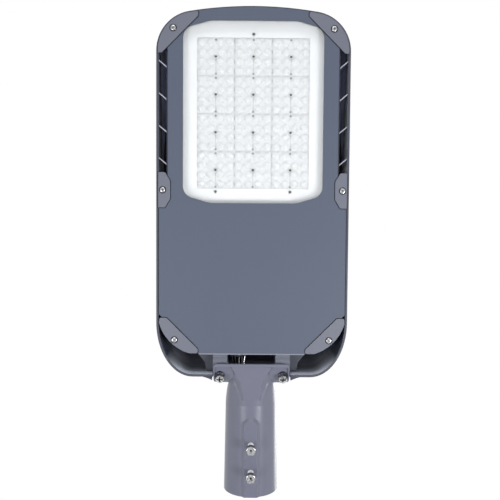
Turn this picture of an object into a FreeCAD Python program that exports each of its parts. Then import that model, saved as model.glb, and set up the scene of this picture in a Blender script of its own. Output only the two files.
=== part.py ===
import FreeCAD, Part
import math
import os
from FreeCAD import Vector

# LED street light head on its tilting spigot adapter. Millimetres. The origin is the centre of the adapter's mouth,
# +Y points out of the mouth down the pole arm, +Z is up and the light shines towards -Z. The nose is at -Y.

# Tilt joint between the head and the adapter. Angles about the hinge start straight down and grow towards +Y.
HINGE_Y = -179.0
HINGE_Z = -2.0
LUG_RADIUS = 26.0
LUG_INNER_X = 32.5
LUG_WIDTH = 18.5
LUG_FOOT_SET = 2.0
TILT_GAP = 0.3
TILT_MIN = -4.0
TILT_MAX = 16.0
BOLT_ANGLE = 26.5
BOLT_IN = 8.6
BOLT_R = 4.0
BOLT_DEPTH = 16.0
BOLT_FLATS = 12.0
BOLT_HEAD = 5.3
WASHER_R = 6.5
WASHER_THICK = 1.6
SPRING_R = 6.2
SPRING_THICK = 2.0
SLOT_CLEAR = 0.5
SLOT_END_WALL = 3.6
YOKE_FRONT = -3.7
YOKE_WALL = 4.7
YOKE_RIM = 2.4
YOKE_RIM_WIDTH = 1.7
YOKE_LIP_WIDTH = 3.6
YOKE_CORNER = 5.0
EAR_CORNER = 9.0

# Spigot adapter
BORE_R = 31.0
BORE_LENGTH = 100.0
TUBE_WALL = 6.0
TUBE_TAPER = 1.9
TUBE_PAST_HINGE = 55.0
STOP_LEDGE = 7.0
SHOULDER_HALF_X = 32.6
SHOULDER_TOP = 31.0
SHOULDER_BOTTOM = 31.5
SHOULDER_CORNER = 24.0
SHOULDER_PAST_HINGE = 33.5
NECK_WALL = 5.0
NECK_HALF_X = 31.2
NECK_TOP = 24.0
NECK_BOTTOM = 29.0
NECK_CORNER = 15.0
NECK_PAST_HINGE = 26.0
SPINE_PROUD = 0.2
SPINE_PLACES = (1.8, 21.5, 46.0)
SPINE_HALVES = (26.8, 15.0, 10.0)
SPINE_FLANKS = (2.2, 15.5, 15.5)
SPINE_FLANK_DEPTH = 13.6
PAD_HALF_X = 11.5
PAD_LENGTH = 107.7
PAD_PROUD = 1.6
PAD_ARCH = 10.5
PAD_BEVEL = 3.0
CLAMP_PLACES = (72.0, 34.8)
CLAMP_R = 4.0
CLAMP_HEAD_R = 6.5
CLAMP_HEAD = 8.0
CLAMP_STAND = 16.0
CLAMP_TIP_GAP = 0.5
SOCKET_FLATS = 6.0
SOCKET_DEPTH = 4.5

# Light engine: lens modules on three boards
MODULE_PITCH = 50.0
MODULE_GAP = 0.5
COLUMNS = 3
ROWS = 4
LENSES_PER_SIDE = 4
LENS_BASE = 2.0
LENS_RIM = 0.9
LENS_HEIGHT = 4.6
LENS_FOOT_R = 5.6
LENS_TOP_R = 3.1
LENS_OVAL = 0.9
LENS_SIDES = 6
LENS_BOSS_R = 3.6
BOARD_THICK = 1.5
BOARD_TAB = 8.0
BOARD_TAB_IN = 5.0
CHIP = 3.5
CHIP_THICK = 0.7
REFLECTOR_THICK = 1.0
REFLECTOR_GAP = 0.8
REFLECTOR_LAP = 2.5
REFLECTOR_SCREW_GAP = 4.0
SEAT_THICK = 5.0

# Light window, its glass and the cover that holds it
WINDOW_MARGIN_X = 17.6
WINDOW_MARGIN_Y = 19.2
WINDOW_EDGE_IN = 35.1
WINDOW_DROP = 10.2
WINDOW_BEND = 16.0
WINDOW_SLACK_BEND = 40.0
WINDOW_LIP = 1.6
GLASS_LAP = 4.0
GLASS_THICK = 4.0
GLASS_SEAL = 1.0
GLASS_CLEAR = 0.3
SEAL_SHOW = 0.6
LENS_AIR = 1.3
FACE_BELOW_HINGE = 31.0
COVER_THICK = 3.0
COVER_EDGE = 2.4
NOSE_BORDER = 19.3
NOSE_SET = 1.7
SIDE_BORDER = 21.4
SLOT_WIDTH = 14.0
RIM_GAP = 3.7
FRONT_CORNER = 69.0
REAR_CORNER = 63.45
STEP_PAST_PLATE = 6.2
COVER_BEFORE_HINGE = 14.8
SEAL_THICK = 1.0
SEAL_WIDTH = 2.3
SEAL_SET = 0.3
SEAM = 0.4

# Trim plates
FRONT_LAP = 7.4
PLATE_LAP = 4.0
PLATE_GROOVE = 1.0
PLATE_PROUD = 0.6
PLATE_LIP = 1.5
PLATE_EDGE_SET = 2.0
PLATE_TIP = 2.4
FRONT_PLATE_START = 13.5
FRONT_PLATE_LENGTH = 61.5
SIDE_PLATE_HALVES = (23.3, 11.8)
SIDE_PLATE_PROUD = 0.8
SIDE_PLATE_WAIST = 11.8
SIDE_PLATE_DEPTH = 18.8
REAR_PLATE_TIP = 14.0
REAR_PLATE_END = 56.0
REAR_PLATE_SET = 1.4
FRONT_SCREW = (22.4, 29.5)
SIDE_SCREW = 8.8
REAR_SCREW = (24.5, 19.6)

# Housing
NOSE_RADIUS = 520.0
NOSE_CORNER = 52.0
HOOD_PAST_HINGE = 15.8
HOOD_CORNER_X = 49.0
HOOD_CORNER_Y = 73.5
RIM_SET = 2.0
NOSE_FIN_HEIGHT = 15.0
CROWN_SLOPE = 8.0
CROWN_BEND = 65.0
CROWN_RADIUS = 460.0
SHOULDER = 26.0
WALL = 3.2
WALL_OUT = 0.6
FIN_PITCH = 13.0
FIN_THICK = 2.6
FIN_FIELD_SIDE = 24.0
FIN_FIELD_NOSE = 18.5
FIN_FIELD_CORNER = 8.0
RIB_COUNT = 4
RIB_FIRST = 75.0
RIB_PITCH = 42.6
RIB_THICK = 1.6
RIB_SLANT = 10.5
RIB_FOOT = 1.5
RIB_HEIGHT = 21.5
BOSS_R = 4.8
POST_R = 5.0
MOUTH_CLEAR = 1.0
CHEEK_GAP = 0.6
CHEEK_THICK = 2.6
CHEEK_PAST_HINGE = 21.5
CHEEK_ROLL = 4.0
CHEEK_FOOT = 4.0
CHEEK_ROUND = 1.4
FLARE_LENGTH = 17.0
FLARE_RISE = 5.7
FLARE_BEND = (0.42, 0.4)
WEB_X = 23.0
WEB_WAIST = (11.0, 15.5)
WEB_END = 8.5
WEB_FOOT = 18.0

# Gear compartment
TRAY_FLOOR_GAP = 21.0
TRAY_THICK = 1.5
TRAY_SIDE = 30.0
TRAY_REAR_GAP = 38.2
TRAY_FRONT_GAP = 11.5
TRAY_FLANGE = 8.0
TRAY_FLANGE_IN = 20.0
TRAY_POST_IN = 8.0
BULKHEAD_GAP = 17.0
PLATE_PAST_BULKHEAD = 8.7
WINDOW_BEHIND_PLATE = 16.9
DRIVER_SIZE = (170.0, 67.0, 36.0)
DRIVER_EDGE = 4.0
DRIVER_GAP = 22.5
EAR_REACH = 11.0
EAR_WIDTH = 24.0
EAR_THICK = 2.5
SURGE_SIZE = (52.0, 34.0, 28.0)
SURGE_X = 52.0
SURGE_REAR_GAP = 21.0
SURGE_EDGE = 3.0
TERMINAL_SIZE = (44.0, 24.0, 20.0)
TERMINAL_X = -38.0
TERMINAL_REAR_GAP = 18.0
POLES = 3
LEAD_R = 1.7
LEAD_WAY = 4.0
MAINS_R = 3.2
GLAND_X = -18.0
GLAND_DROP = 1.0
GLAND_R = 10.0
GLAND_CLEAR = 0.2
GLAND_BORE_R = 4.6
GLAND_FLATS = 22.0
GLAND_COLLAR = 6.0
GLAND_CAP = 12.0
GLAND_CAP_RADII = (10.6, 8.2)
GLAND_TIP = 3.0
NUT_FLATS = 24.0
NUT_THICK = 5.0

# Fasteners
SCREW_R = 2.0
SMALL_SCREW_R = 1.5
THREAD_CLEAR = 0.05
SCREW_CLEAR = 0.3
SMALL_SCREW_CLEAR = 0.2
PAN_HEAD_R = 3.9
PAN_HEAD = 2.4
SINK_R = 4.4
PLATE_SCREW = 14.0
LENS_HEAD_R = 2.9
LENS_HEAD = 2.0
LENS_SCREW_SHORT = 1.3
REFLECTOR_HEAD_R = 2.7
REFLECTOR_HEAD = 1.8
REFLECTOR_SCREW = 6.0
TRAY_SCREW = 8.0

# Places across the head, outwards from the lens field
field_half_x = COLUMNS * MODULE_PITCH / 2
field_half_y = ROWS * MODULE_PITCH / 2
window_half_x = field_half_x + WINDOW_MARGIN_X
window_half_y = field_half_y + WINDOW_MARGIN_Y
cover_front_half = window_half_x + SIDE_BORDER
half_width = cover_front_half + SLOT_WIDTH
cover_rear_half = half_width - RIM_GAP

# Places along the head, from the hinge through the gear compartment to the nose
hood_y = HINGE_Y + HOOD_PAST_HINGE
cover_rear_y = HINGE_Y - COVER_BEFORE_HINGE
wall_rear_y = cover_rear_y + WALL_OUT
tray_rear_y = cover_rear_y - TRAY_REAR_GAP
surge_y = tray_rear_y - SURGE_REAR_GAP - SURGE_SIZE[1] / 2
terminal_y = tray_rear_y - TERMINAL_REAR_GAP - TERMINAL_SIZE[1] / 2
driver_y = surge_y - SURGE_SIZE[1] / 2 - DRIVER_GAP - DRIVER_SIZE[1] / 2
tray_front_y = driver_y - DRIVER_SIZE[1] / 2 - TRAY_FRONT_GAP
bulkhead_y = tray_front_y - BULKHEAD_GAP
side_plate_y = bulkhead_y - PLATE_PAST_BULKHEAD
field_y = side_plate_y + WINDOW_BEHIND_PLATE - window_half_y
nose_y = field_y - window_half_y - NOSE_BORDER

# Corner cuts of the cover: x - (y - nose_y) = front_cut and x + y = rear_cut along the plates' inner edges
front_cut = half_width - FRONT_CORNER
rear_cut = half_width - REAR_CORNER + cover_rear_y

# Heights, from the cover's face upwards
face_z = HINGE_Z - FACE_BELOW_HINGE
rim_z = face_z + RIM_SET
cover_seat_z = face_z + COVER_THICK
seal_top_z = cover_seat_z + SEAL_THICK
plate_face_z = face_z - PLATE_PROUD
groove_z = plate_face_z + PLATE_LIP
pocket_z = face_z + WINDOW_LIP
glass_z = pocket_z + GLASS_SEAL
glass_top_z = glass_z + GLASS_THICK
ledge_z = glass_top_z + LENS_AIR + LENS_HEIGHT
board_z = ledge_z + LENS_BASE
seat_z = board_z + BOARD_THICK
seat_top_z = seat_z + SEAT_THICK
nose_top_z = seat_top_z + NOSE_FIN_HEIGHT
tray_z = seal_top_z + TRAY_FLOOR_GAP + DRIVER_SIZE[2]

ACROSS = Vector(1, 0, 0)
ALONG = Vector(0, 1, 0)
UP = Vector(0, 0, 1)
TOP = 100.0
EASE = 1.0
NODES = {}


def box(x0, x1, y0, y1, z0, z1):
    return Part.makeBox(x1 - x0, y1 - y0, z1 - z0, Vector(x0, y0, z0))


def rod(radius, start, direction, length):
    return Part.makeCylinder(radius, length, start, direction)


def join(shapes):
    shapes = list(shapes)
    whole = shapes[0].multiFuse(shapes[1:]) if len(shapes) > 1 else shapes[0]
    return whole.removeSplitter()


def cut(shape, tools):
    tools = list(tools)
    return shape.cut(tools) if tools else shape


def flip(shape):
    return shape.mirror(Vector(0, 0, 0), ACROSS)


def slab(wire, z0, z1):
    face = Part.Face(wire)
    face.translate(Vector(0, 0, z0))
    return face.extrude(Vector(0, 0, z1 - z0))


def line(a, b):
    return Part.LineSegment(Vector(a[0], a[1], 0), Vector(b[0], b[1], 0)).toShape()


def arc(a, mid, b):
    return Part.Arc(Vector(a[0], a[1], 0), Vector(mid[0], mid[1], 0), Vector(b[0], b[1], 0)).toShape()


def rounded(corners):
    """Closed outline through corners given as (x, y, radius)."""
    edges = []
    ends = []
    count = len(corners)
    for i in range(count):
        x, y, radius = corners[i]
        here = Vector(x, y, 0)
        before = Vector(corners[i - 1][0], corners[i - 1][1], 0) - here
        after = Vector(corners[(i + 1) % count][0], corners[(i + 1) % count][1], 0) - here
        before.normalize()
        after.normalize()
        if radius <= 0:
            ends.append((here, here))
            continue
        half = math.acos(max(-1.0, min(1.0, before.dot(after)))) / 2
        back = radius / math.tan(half)
        start = here + before * back
        end = here + after * back
        middle = before + after
        middle.normalize()
        deep = here + middle * (radius / math.sin(half) - radius)
        edges.append(Part.Arc(start, deep, end).toShape())
        ends.append((start, end))
    for i in range(count):
        a = ends[i][1]
        b = ends[(i + 1) % count][0]
        if (a - b).Length > 0.001:
            edges.append(Part.LineSegment(a, b).toShape())
    return Part.Wire(Part.__sortEdges__(edges))


def polygon(points):
    """Closed outline with straight sides and sharp corners."""
    return rounded([(x, y, 0) for x, y in points])


def grown(wire, distance):
    return wire.makeOffset2D(distance, 2)


def soften(shape, radius, corners):
    """Rounds the upright edges that stand at these corners."""
    edges = []
    for e in shape.Edges:
        size = e.BoundBox
        if size.XLength > 0.01 or size.YLength > 0.01:
            continue
        if any(abs(size.XMin - x) < 0.1 and abs(size.YMin - y) < 0.1 for x, y in corners):
            edges.append(e)
    return shape.makeFillet(radius, edges)


def hexagon(flats, centre, direction, length):
    radius = flats / math.sqrt(3)
    points = [Vector(radius * math.cos(k * math.pi / 3), radius * math.sin(k * math.pi / 3), 0) for k in range(7)]
    shape = Part.Face(Part.makePolygon(points)).extrude(Vector(0, 0, length))
    shape.Placement = FreeCAD.Placement(centre, FreeCAD.Rotation(UP, direction))
    return shape


def radial(angle):
    """Direction from the hinge, measured from straight down towards the adapter."""
    a = math.radians(angle)
    return Vector(0, math.sin(a), -math.cos(a))


def keep(name, shape):
    NODES[name] = shape


# Plan outlines

def head_outline(inset):
    """The head seen from above: a slack nose arc, round nose corners and elliptical hood corners."""
    half = half_width - inset
    nose_centre_y = nose_y + NOSE_RADIUS
    corner_x = half_width - NOSE_CORNER
    reach = NOSE_RADIUS - NOSE_CORNER
    corner_y = nose_centre_y - math.sqrt(reach * reach - corner_x * corner_x)
    along = Vector(corner_x, corner_y - nose_centre_y, 0) * (1 / reach)
    touch = Vector(0, nose_centre_y, 0) + along * (NOSE_RADIUS - inset)
    bisector = along + ACROSS
    bisector.normalize()
    middle = Vector(corner_x, corner_y, 0) + bisector * (NOSE_CORNER - inset)
    centre = Vector(half_width - HOOD_CORNER_X, hood_y - HOOD_CORNER_Y, 0)
    long_end = centre + Vector(0, HOOD_CORNER_Y - inset, 0)
    short_end = centre + Vector(HOOD_CORNER_X - inset, 0, 0)
    right = [
        arc((touch.x, touch.y), (middle.x, middle.y), (half, corner_y)),
        line((half, corner_y), (half, centre.y)),
        Part.ArcOfEllipse(Part.Ellipse(long_end, short_end, centre), 0, 0.5 * math.pi).toShape(),
    ]
    edges = [arc((-touch.x, touch.y), (0, nose_y + inset), (touch.x, touch.y))] + right + [flip(e) for e in right]
    edges.append(line((centre.x, hood_y - inset), (-centre.x, hood_y - inset)))
    return Part.Wire(Part.__sortEdges__(edges))


def crown_block(drop):
    """Everything under the crown's side profile, lowered by drop: a slope from the nose, then one long arc."""
    slope = math.radians(CROWN_SLOPE)
    bend_y = bulkhead_y + CROWN_BEND
    bend_z = nose_top_z + (bend_y - nose_y) * math.tan(slope)
    hub = Vector(0, bend_y + CROWN_RADIUS * math.sin(slope), bend_z - CROWN_RADIUS * math.cos(slope))
    radius = CROWN_RADIUS - drop
    front_y = nose_y - SHOULDER
    start = hub + Vector(0, -radius * math.sin(slope), radius * math.cos(slope))
    front = Vector(0, front_y, start.z + (front_y - start.y) * math.tan(slope))
    end_angle = math.asin((hood_y + SHOULDER - hub.y) / radius)
    top = hub + Vector(0, 0, radius)
    end = hub + Vector(0, radius * math.sin(end_angle), radius * math.cos(end_angle))
    floor_z = rim_z - SHOULDER
    edges = [
        Part.LineSegment(Vector(0, front_y, floor_z), front).toShape(),
        Part.LineSegment(front, start).toShape(),
        Part.Arc(start, top, end).toShape(),
        Part.LineSegment(end, Vector(0, end.y, floor_z)).toShape(),
        Part.LineSegment(Vector(0, end.y, floor_z), Vector(0, front_y, floor_z)).toShape(),
    ]
    face = Part.Face(Part.Wire(edges))
    face.translate(Vector(-2 * half_width, 0, 0))
    return face.extrude(Vector(4 * half_width, 0, 0))


def head_form(inset):
    """The closed form of the head, inset evenly from its outside, with its rolled shoulders."""
    block = slab(head_outline(inset), rim_z, TOP).common(crown_block(inset)).Solids[0]
    flat = [e for e in block.Edges if e.BoundBox.XLength > 1 or e.BoundBox.YLength > 1]
    high = [e for e in flat if e.BoundBox.ZMin > rim_z + 1]
    # the line where the slope meets the arc runs straight across and stays
    rim = [e for e in high if e.BoundBox.YLength > 0.01 or e.BoundBox.XLength < 2 * (half_width - inset) - 1]
    return block.makeFillet(SHOULDER - inset, rim)


def cover_outline():
    """Outline of the flat cover: cut corners and a step out behind the side plates."""
    lap = PLATE_LAP * math.sqrt(2)
    radius = NOSE_RADIUS - NOSE_SET
    hub_y = nose_y + NOSE_RADIUS
    reach = front_cut + FRONT_LAP * math.sqrt(2)
    # where the nose arc meets the line x - (y - nose_y) = reach
    drop = NOSE_RADIUS + reach
    tip_x = (drop - math.sqrt(2 * radius * radius - drop * drop)) / 2
    tip_y = nose_y + tip_x - reach
    step_y = side_plate_y + STEP_PAST_PLATE
    right = [
        (tip_x, tip_y),
        (cover_front_half, nose_y + cover_front_half - reach),
        (cover_front_half, step_y),
        (cover_rear_half, step_y + cover_rear_half - cover_front_half),
        (cover_rear_half, rear_cut + lap - cover_rear_half),
        (rear_cut + lap - cover_rear_y, cover_rear_y),
    ]
    edges = [arc((-tip_x, tip_y), (0, hub_y - radius), (tip_x, tip_y))]
    for side in (1, -1):
        for i in range(len(right) - 1):
            edges.append(line((side * right[i][0], right[i][1]), (side * right[i + 1][0], right[i + 1][1])))
    edges.append(line(right[-1], (-right[-1][0], right[-1][1])))
    return Part.Wire(Part.__sortEdges__(edges))


def window_outline(extra):
    """The light window, with corners in two stages, or the same outline grown by extra."""
    half_x = window_half_x + extra
    half_y = window_half_y + extra
    edge_x = window_half_x - WINDOW_EDGE_IN
    quarter = [(half_x, half_y - WINDOW_DROP, WINDOW_BEND + extra), (edge_x, half_y, WINDOW_SLACK_BEND)]
    corners = [(x, field_y + y, r) for x, y, r in quarter]
    corners += [(-x, field_y + y, r) for x, y, r in reversed(quarter)]
    corners += [(-x, field_y - y, r) for x, y, r in quarter]
    corners += [(x, field_y - y, r) for x, y, r in reversed(quarter)]
    return rounded(corners)


# Trim plates: the form of each on the right-hand side, and the place of its screw

def front_plate_form(z0, z1):
    start_x = front_cut + FRONT_PLATE_START
    end_y = nose_y + FRONT_PLATE_LENGTH
    far = 2 * half_width
    inner_line = [(front_cut - far, nose_y - far), (front_cut + far, nose_y + far), (front_cut + far, nose_y - far)]
    limits = box(start_x, half_width, nose_y, end_y, z0, z1)
    plate = slab(head_outline(PLATE_EDGE_SET), z0, z1).common(slab(polygon(inner_line), z0, z1)).common(limits)
    radius = NOSE_RADIUS - PLATE_EDGE_SET
    return soften(plate, PLATE_TIP, [
        (start_x, nose_y + NOSE_RADIUS - math.sqrt(radius * radius - start_x * start_x)),
        (start_x, nose_y + FRONT_PLATE_START),
        (front_cut + FRONT_PLATE_LENGTH, end_y),
        (half_width - PLATE_EDGE_SET, end_y),
    ])


def side_plate_form(z0, z1):
    outer = cover_rear_half + SIDE_PLATE_PROUD
    waist = half_width - SIDE_PLATE_WAIST
    inner = half_width - SIDE_PLATE_DEPTH
    end, flat = SIDE_PLATE_HALVES
    half = [(outer, end, 1), (waist, end, 2), (inner, flat, 2)]
    corners = [(x, side_plate_y - y, r) for x, y, r in half]
    corners += [(x, side_plate_y + y, r) for x, y, r in reversed(half)]
    return slab(rounded(corners), z0, z1)


def rear_plate_form(z0, z1):
    tip_x = half_width - REAR_PLATE_TIP
    end_x = half_width - REAR_PLATE_END
    rear_y = cover_rear_y - REAR_PLATE_SET
    inner_front = (tip_x, rear_cut - tip_x)
    inner_rear = (end_x, rear_cut - end_x)
    rear_end = (end_x, rear_y)
    outer_rear = (end_x + 12.0, rear_y)
    outer_middle = (half_width - 22.4, rear_y - 11.8)
    outer_front = (half_width - 3.6, inner_front[1] + 6.8)
    front_end = (half_width - 4.4, inner_front[1])
    edges = [
        line(inner_front, inner_rear),
        line(inner_rear, rear_end),
        line(rear_end, outer_rear),
        arc(outer_rear, outer_middle, outer_front),
        line(outer_front, front_end),
        line(front_end, inner_front),
    ]
    plate = slab(Part.Wire(Part.__sortEdges__(edges)), z0, z1)
    return soften(plate, PLATE_TIP, [inner_front, inner_rear, rear_end, front_end])


PLATES = (
    ("front_plate", front_plate_form, (half_width - FRONT_SCREW[0], nose_y + FRONT_SCREW[1])),
    ("side_plate", side_plate_form, (half_width - SIDE_SCREW, side_plate_y)),
    ("rear_plate", rear_plate_form, (half_width - REAR_SCREW[0], cover_rear_y - REAR_SCREW[1])),
)


def plate_grown(form, z0, z1, extra):
    """The plate's outline grown by extra all round."""
    flat = form(0, 1)
    bottom = [f for f in flat.Faces if abs(f.CenterOfMass.z) < 0.001][0]
    return slab(grown(bottom.OuterWire, extra), z0, z1)


# Lower cover: one flat casting, rounded along the side slots

cover_wire = cover_outline()
cover = slab(cover_wire, face_z, cover_seat_z)
slot_edges = [
    e for e in cover.Edges
    if abs(e.BoundBox.ZMax - face_z) < 0.01 and abs(abs(e.CenterOfMass.x) - cover_front_half) < 0.1
]
cover = cover.makeFillet(COVER_EDGE, slot_edges)
recesses = []
for name, form, place in PLATES:
    groove = plate_grown(form, face_z, groove_z, PLATE_GROOVE)
    recesses += [groove, flip(groove)]
recesses.append(slab(window_outline(0), face_z, cover_seat_z))
recesses.append(slab(window_outline(GLASS_LAP + GLASS_SEAL + GLASS_CLEAR), pocket_z, cover_seat_z))
keep("lower_cover", cut(cover, recesses))

# Window glass and its channel gasket
glass = slab(window_outline(GLASS_LAP), glass_z, glass_top_z)
keep("window_glass", glass)
seal_over_z = glass_top_z + GLASS_SEAL
seal = slab(window_outline(GLASS_LAP + GLASS_SEAL), pocket_z, seal_over_z)
keep("window_gasket", cut(seal, [slab(window_outline(SEAL_SHOW), pocket_z, seal_over_z), glass]))

# Upper housing: the shell first, then what stands inside it

outer_form = head_form(0.0)
housing = outer_form.cut(head_form(WALL))

far_x = 2 * half_width
ahead_y = nose_y - SHOULDER
wall_outer = grown(cover_wire, WALL_OUT)
wall_inner = grown(cover_wire, WALL_OUT - WALL)
ring = slab(wall_outer, seal_top_z, TOP).cut(slab(wall_inner, seal_top_z, TOP))
ring = ring.cut(box(-far_x, far_x, ahead_y, bulkhead_y, seat_top_z, TOP))
seat = slab(wall_outer, ledge_z, seat_top_z)
seat = seat.common(box(-far_x, far_x, ahead_y, bulkhead_y + WALL, ledge_z, seat_top_z))
bulkhead = box(-half_width, half_width, bulkhead_y, bulkhead_y + WALL, seat_top_z - WALL, TOP)

# the fin field is open above, and its front corners run along the cover's cut corners, one wall inside them
field_side_x = half_width - FIN_FIELD_SIDE
field_front_y = nose_y + FIN_FIELD_NOSE
field_cut = front_cut + (FRONT_LAP - WALL) * math.sqrt(2)
field_corner_x = field_cut + FIN_FIELD_NOSE
field_corner_y = nose_y + field_side_x - field_cut
fin_field = slab(rounded([
    (-field_side_x, field_corner_y, FIN_FIELD_CORNER),
    (-field_corner_x, field_front_y, FIN_FIELD_CORNER),
    (field_corner_x, field_front_y, FIN_FIELD_CORNER),
    (field_side_x, field_corner_y, FIN_FIELD_CORNER),
    (field_side_x, bulkhead_y, 0),
    (-field_side_x, bulkhead_y, 0),
]), seat_top_z, TOP)
fins = []
fin_count = 2 * int((field_side_x - FIN_THICK) / FIN_PITCH + 0.5)
for i in range(fin_count):
    x = (i - (fin_count - 1) / 2) * FIN_PITCH
    fins.append(box(x - FIN_THICK / 2, x + FIN_THICK / 2, field_front_y - 2 * EASE, bulkhead_y + EASE,
                    seat_top_z - EASE, TOP))

ribs = []
for i in range(RIB_COUNT):
    y = nose_y + RIB_FIRST + i * RIB_PITCH
    half = RIB_THICK / 2
    inner_x = cover_front_half - EASE
    outer_x = half_width - WALL + EASE
    rib = slab(polygon([
        (inner_x, y + RIB_SLANT / 2 - half), (inner_x, y + RIB_SLANT / 2 + half),
        (outer_x, y - RIB_SLANT / 2 + half), (outer_x, y - RIB_SLANT / 2 - half),
    ]), rim_z + RIB_FOOT, rim_z + RIB_FOOT + RIB_HEIGHT)
    ribs += [rib, flip(rib)]

bosses = []
boss_holes = []
for name, form, (x, y) in PLATES:
    boss = rod(BOSS_R, Vector(x, y, cover_seat_z), UP, TOP)
    hole = rod(SCREW_R + THREAD_CLEAR, Vector(x, y, cover_seat_z - EASE), UP, PLATE_SCREW + EASE)
    bosses += [boss, flip(boss)]
    boss_holes += [hole, flip(hole)]

tray_half_x = half_width - TRAY_SIDE
post_x = tray_half_x - TRAY_POST_IN
TRAY_POSTS = [(x, y) for x in (-post_x, post_x) for y in (tray_front_y + TRAY_POST_IN, tray_rear_y - TRAY_POST_IN)]
posts = [rod(POST_R, Vector(x, y, tray_z + TRAY_THICK), UP, TOP) for x, y in TRAY_POSTS]
post_holes = [rod(SCREW_R + THREAD_CLEAR, Vector(x, y, tray_z), UP, TRAY_SCREW + EASE) for x, y in TRAY_POSTS]

# the mouth takes the adapter's yoke, with a lug inside each of its ends and a cheek outside
hinge = Vector(0, HINGE_Y, HINGE_Z)
yoke_half_x = LUG_INNER_X + LUG_WIDTH
yoke_inner = LUG_RADIUS + TILT_GAP
yoke_floor = yoke_inner + YOKE_WALL
yoke_outer = yoke_floor + YOKE_RIM
mouth_r = yoke_outer + MOUTH_CLEAR
cheek_x = yoke_half_x + CHEEK_GAP
cheek_out_x = cheek_x + CHEEK_THICK
mouth = join([
    rod(mouth_r, Vector(-cheek_x, HINGE_Y, HINGE_Z), ACROSS, 2 * cheek_x),
    box(-cheek_x, cheek_x, HINGE_Y, 0, rim_z - SHOULDER, HINGE_Z),
]).common(box(-cheek_x, cheek_x, wall_rear_y, 0, -TOP, TOP))
root_x = cheek_x + EASE
root_y = wall_rear_y - EASE
lug = join([
    rod(LUG_RADIUS, Vector(LUG_INNER_X, HINGE_Y, HINGE_Z), ACROSS, root_x - LUG_INNER_X),
    box(LUG_INNER_X, root_x, root_y, HINGE_Y, HINGE_Z - LUG_RADIUS + LUG_FOOT_SET, HINGE_Z),
    box(LUG_INNER_X, root_x, root_y, HINGE_Y, HINGE_Z - EASE, TOP),
]).common(outer_form)
cheek_end_y = HINGE_Y + CHEEK_PAST_HINGE
cheek = slab(rounded([
    (cheek_x, root_y, 0), (cheek_out_x, root_y, 0),
    (cheek_out_x, cheek_end_y, CHEEK_ROUND), (cheek_x, cheek_end_y, CHEEK_ROUND),
]), rim_z + CHEEK_FOOT, TOP)
cheek = cheek.common(rod(mouth_r + CHEEK_ROLL, Vector(cheek_x - EASE, HINGE_Y, HINGE_Z), ACROSS, CHEEK_THICK + 2 * EASE))
flare_in_x = cheek_out_x - EASE
flare_out_x = cheek_out_x + FLARE_LENGTH
flare_front_y = hood_y - WALL
flare_middle = (cheek_out_x + FLARE_LENGTH * FLARE_BEND[0], hood_y + FLARE_RISE * FLARE_BEND[1])
flare = slab(Part.Wire(Part.__sortEdges__([
    line((flare_in_x, flare_front_y), (flare_out_x, flare_front_y)),
    line((flare_out_x, flare_front_y), (flare_out_x, hood_y)),
    arc((flare_out_x, hood_y), flare_middle, (flare_in_x, hood_y + FLARE_RISE)),
    line((flare_in_x, hood_y + FLARE_RISE), (flare_in_x, flare_front_y)),
])), rim_z + CHEEK_FOOT, TOP)
flare = flare.common(outer_form.translated(Vector(0, FLARE_RISE, 0)))
web = slab(polygon([
    (root_x, root_y), (root_x + WEB_X, root_y), (root_x + WEB_WAIST[0], root_y + WEB_WAIST[1]),
    (root_x + WEB_END, hood_y), (root_x, hood_y),
]), rim_z + WEB_FOOT, TOP)

housing = cut(housing, [fin_field])
inner_works = join([ring, seat, bulkhead] + fins + ribs + bosses + posts + [web, flip(web)])
housing = join([housing, inner_works.common(outer_form)])
housing = cut(housing, [mouth])
housing = join([housing, lug, flip(lug), cheek, flip(cheek), flare, flip(flare)])

board_rear_y = field_y + field_half_y + BOARD_TAB
tab_half_x = MODULE_PITCH / 2 - BOARD_TAB_IN
pocket_x = field_half_x + REFLECTOR_GAP
pocket_y = field_half_y + REFLECTOR_GAP
tab_x = tab_half_x + REFLECTOR_GAP
gland_z = HINGE_Z - GLAND_DROP
gland_at = Vector(GLAND_X, wall_rear_y, gland_z)
ways = [
    box(-pocket_x, pocket_x, field_y - pocket_y, field_y + pocket_y, ledge_z, seat_z),
    box(-tab_x, tab_x, field_y, board_rear_y + REFLECTOR_GAP, ledge_z, seat_z),
    box(-LEAD_WAY, LEAD_WAY, board_rear_y, bulkhead_y + WALL + EASE, ledge_z, seat_z),
    rod(GLAND_R + GLAND_CLEAR, gland_at - ALONG * (WALL + EASE), ALONG, WALL + 2 * EASE),
    slab(grown(cover_wire, SEAM), rim_z - EASE, seal_top_z),
]
for name, form, place in PLATES:
    rebate = plate_grown(form, rim_z - EASE, cover_seat_z, SEAM)
    ways += [rebate, flip(rebate)]

bolt_x = yoke_half_x - BOLT_IN
bolt_way = radial(BOLT_ANGLE)
bolt_tip = LUG_RADIUS - BOLT_DEPTH
bolt_holes = []
for x in (-bolt_x, bolt_x):
    start = hinge + Vector(x, 0, 0) + bolt_way * (bolt_tip - 2 * EASE)
    bolt_holes.append(rod(BOLT_R + THREAD_CLEAR, start, bolt_way, LUG_RADIUS))

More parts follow.
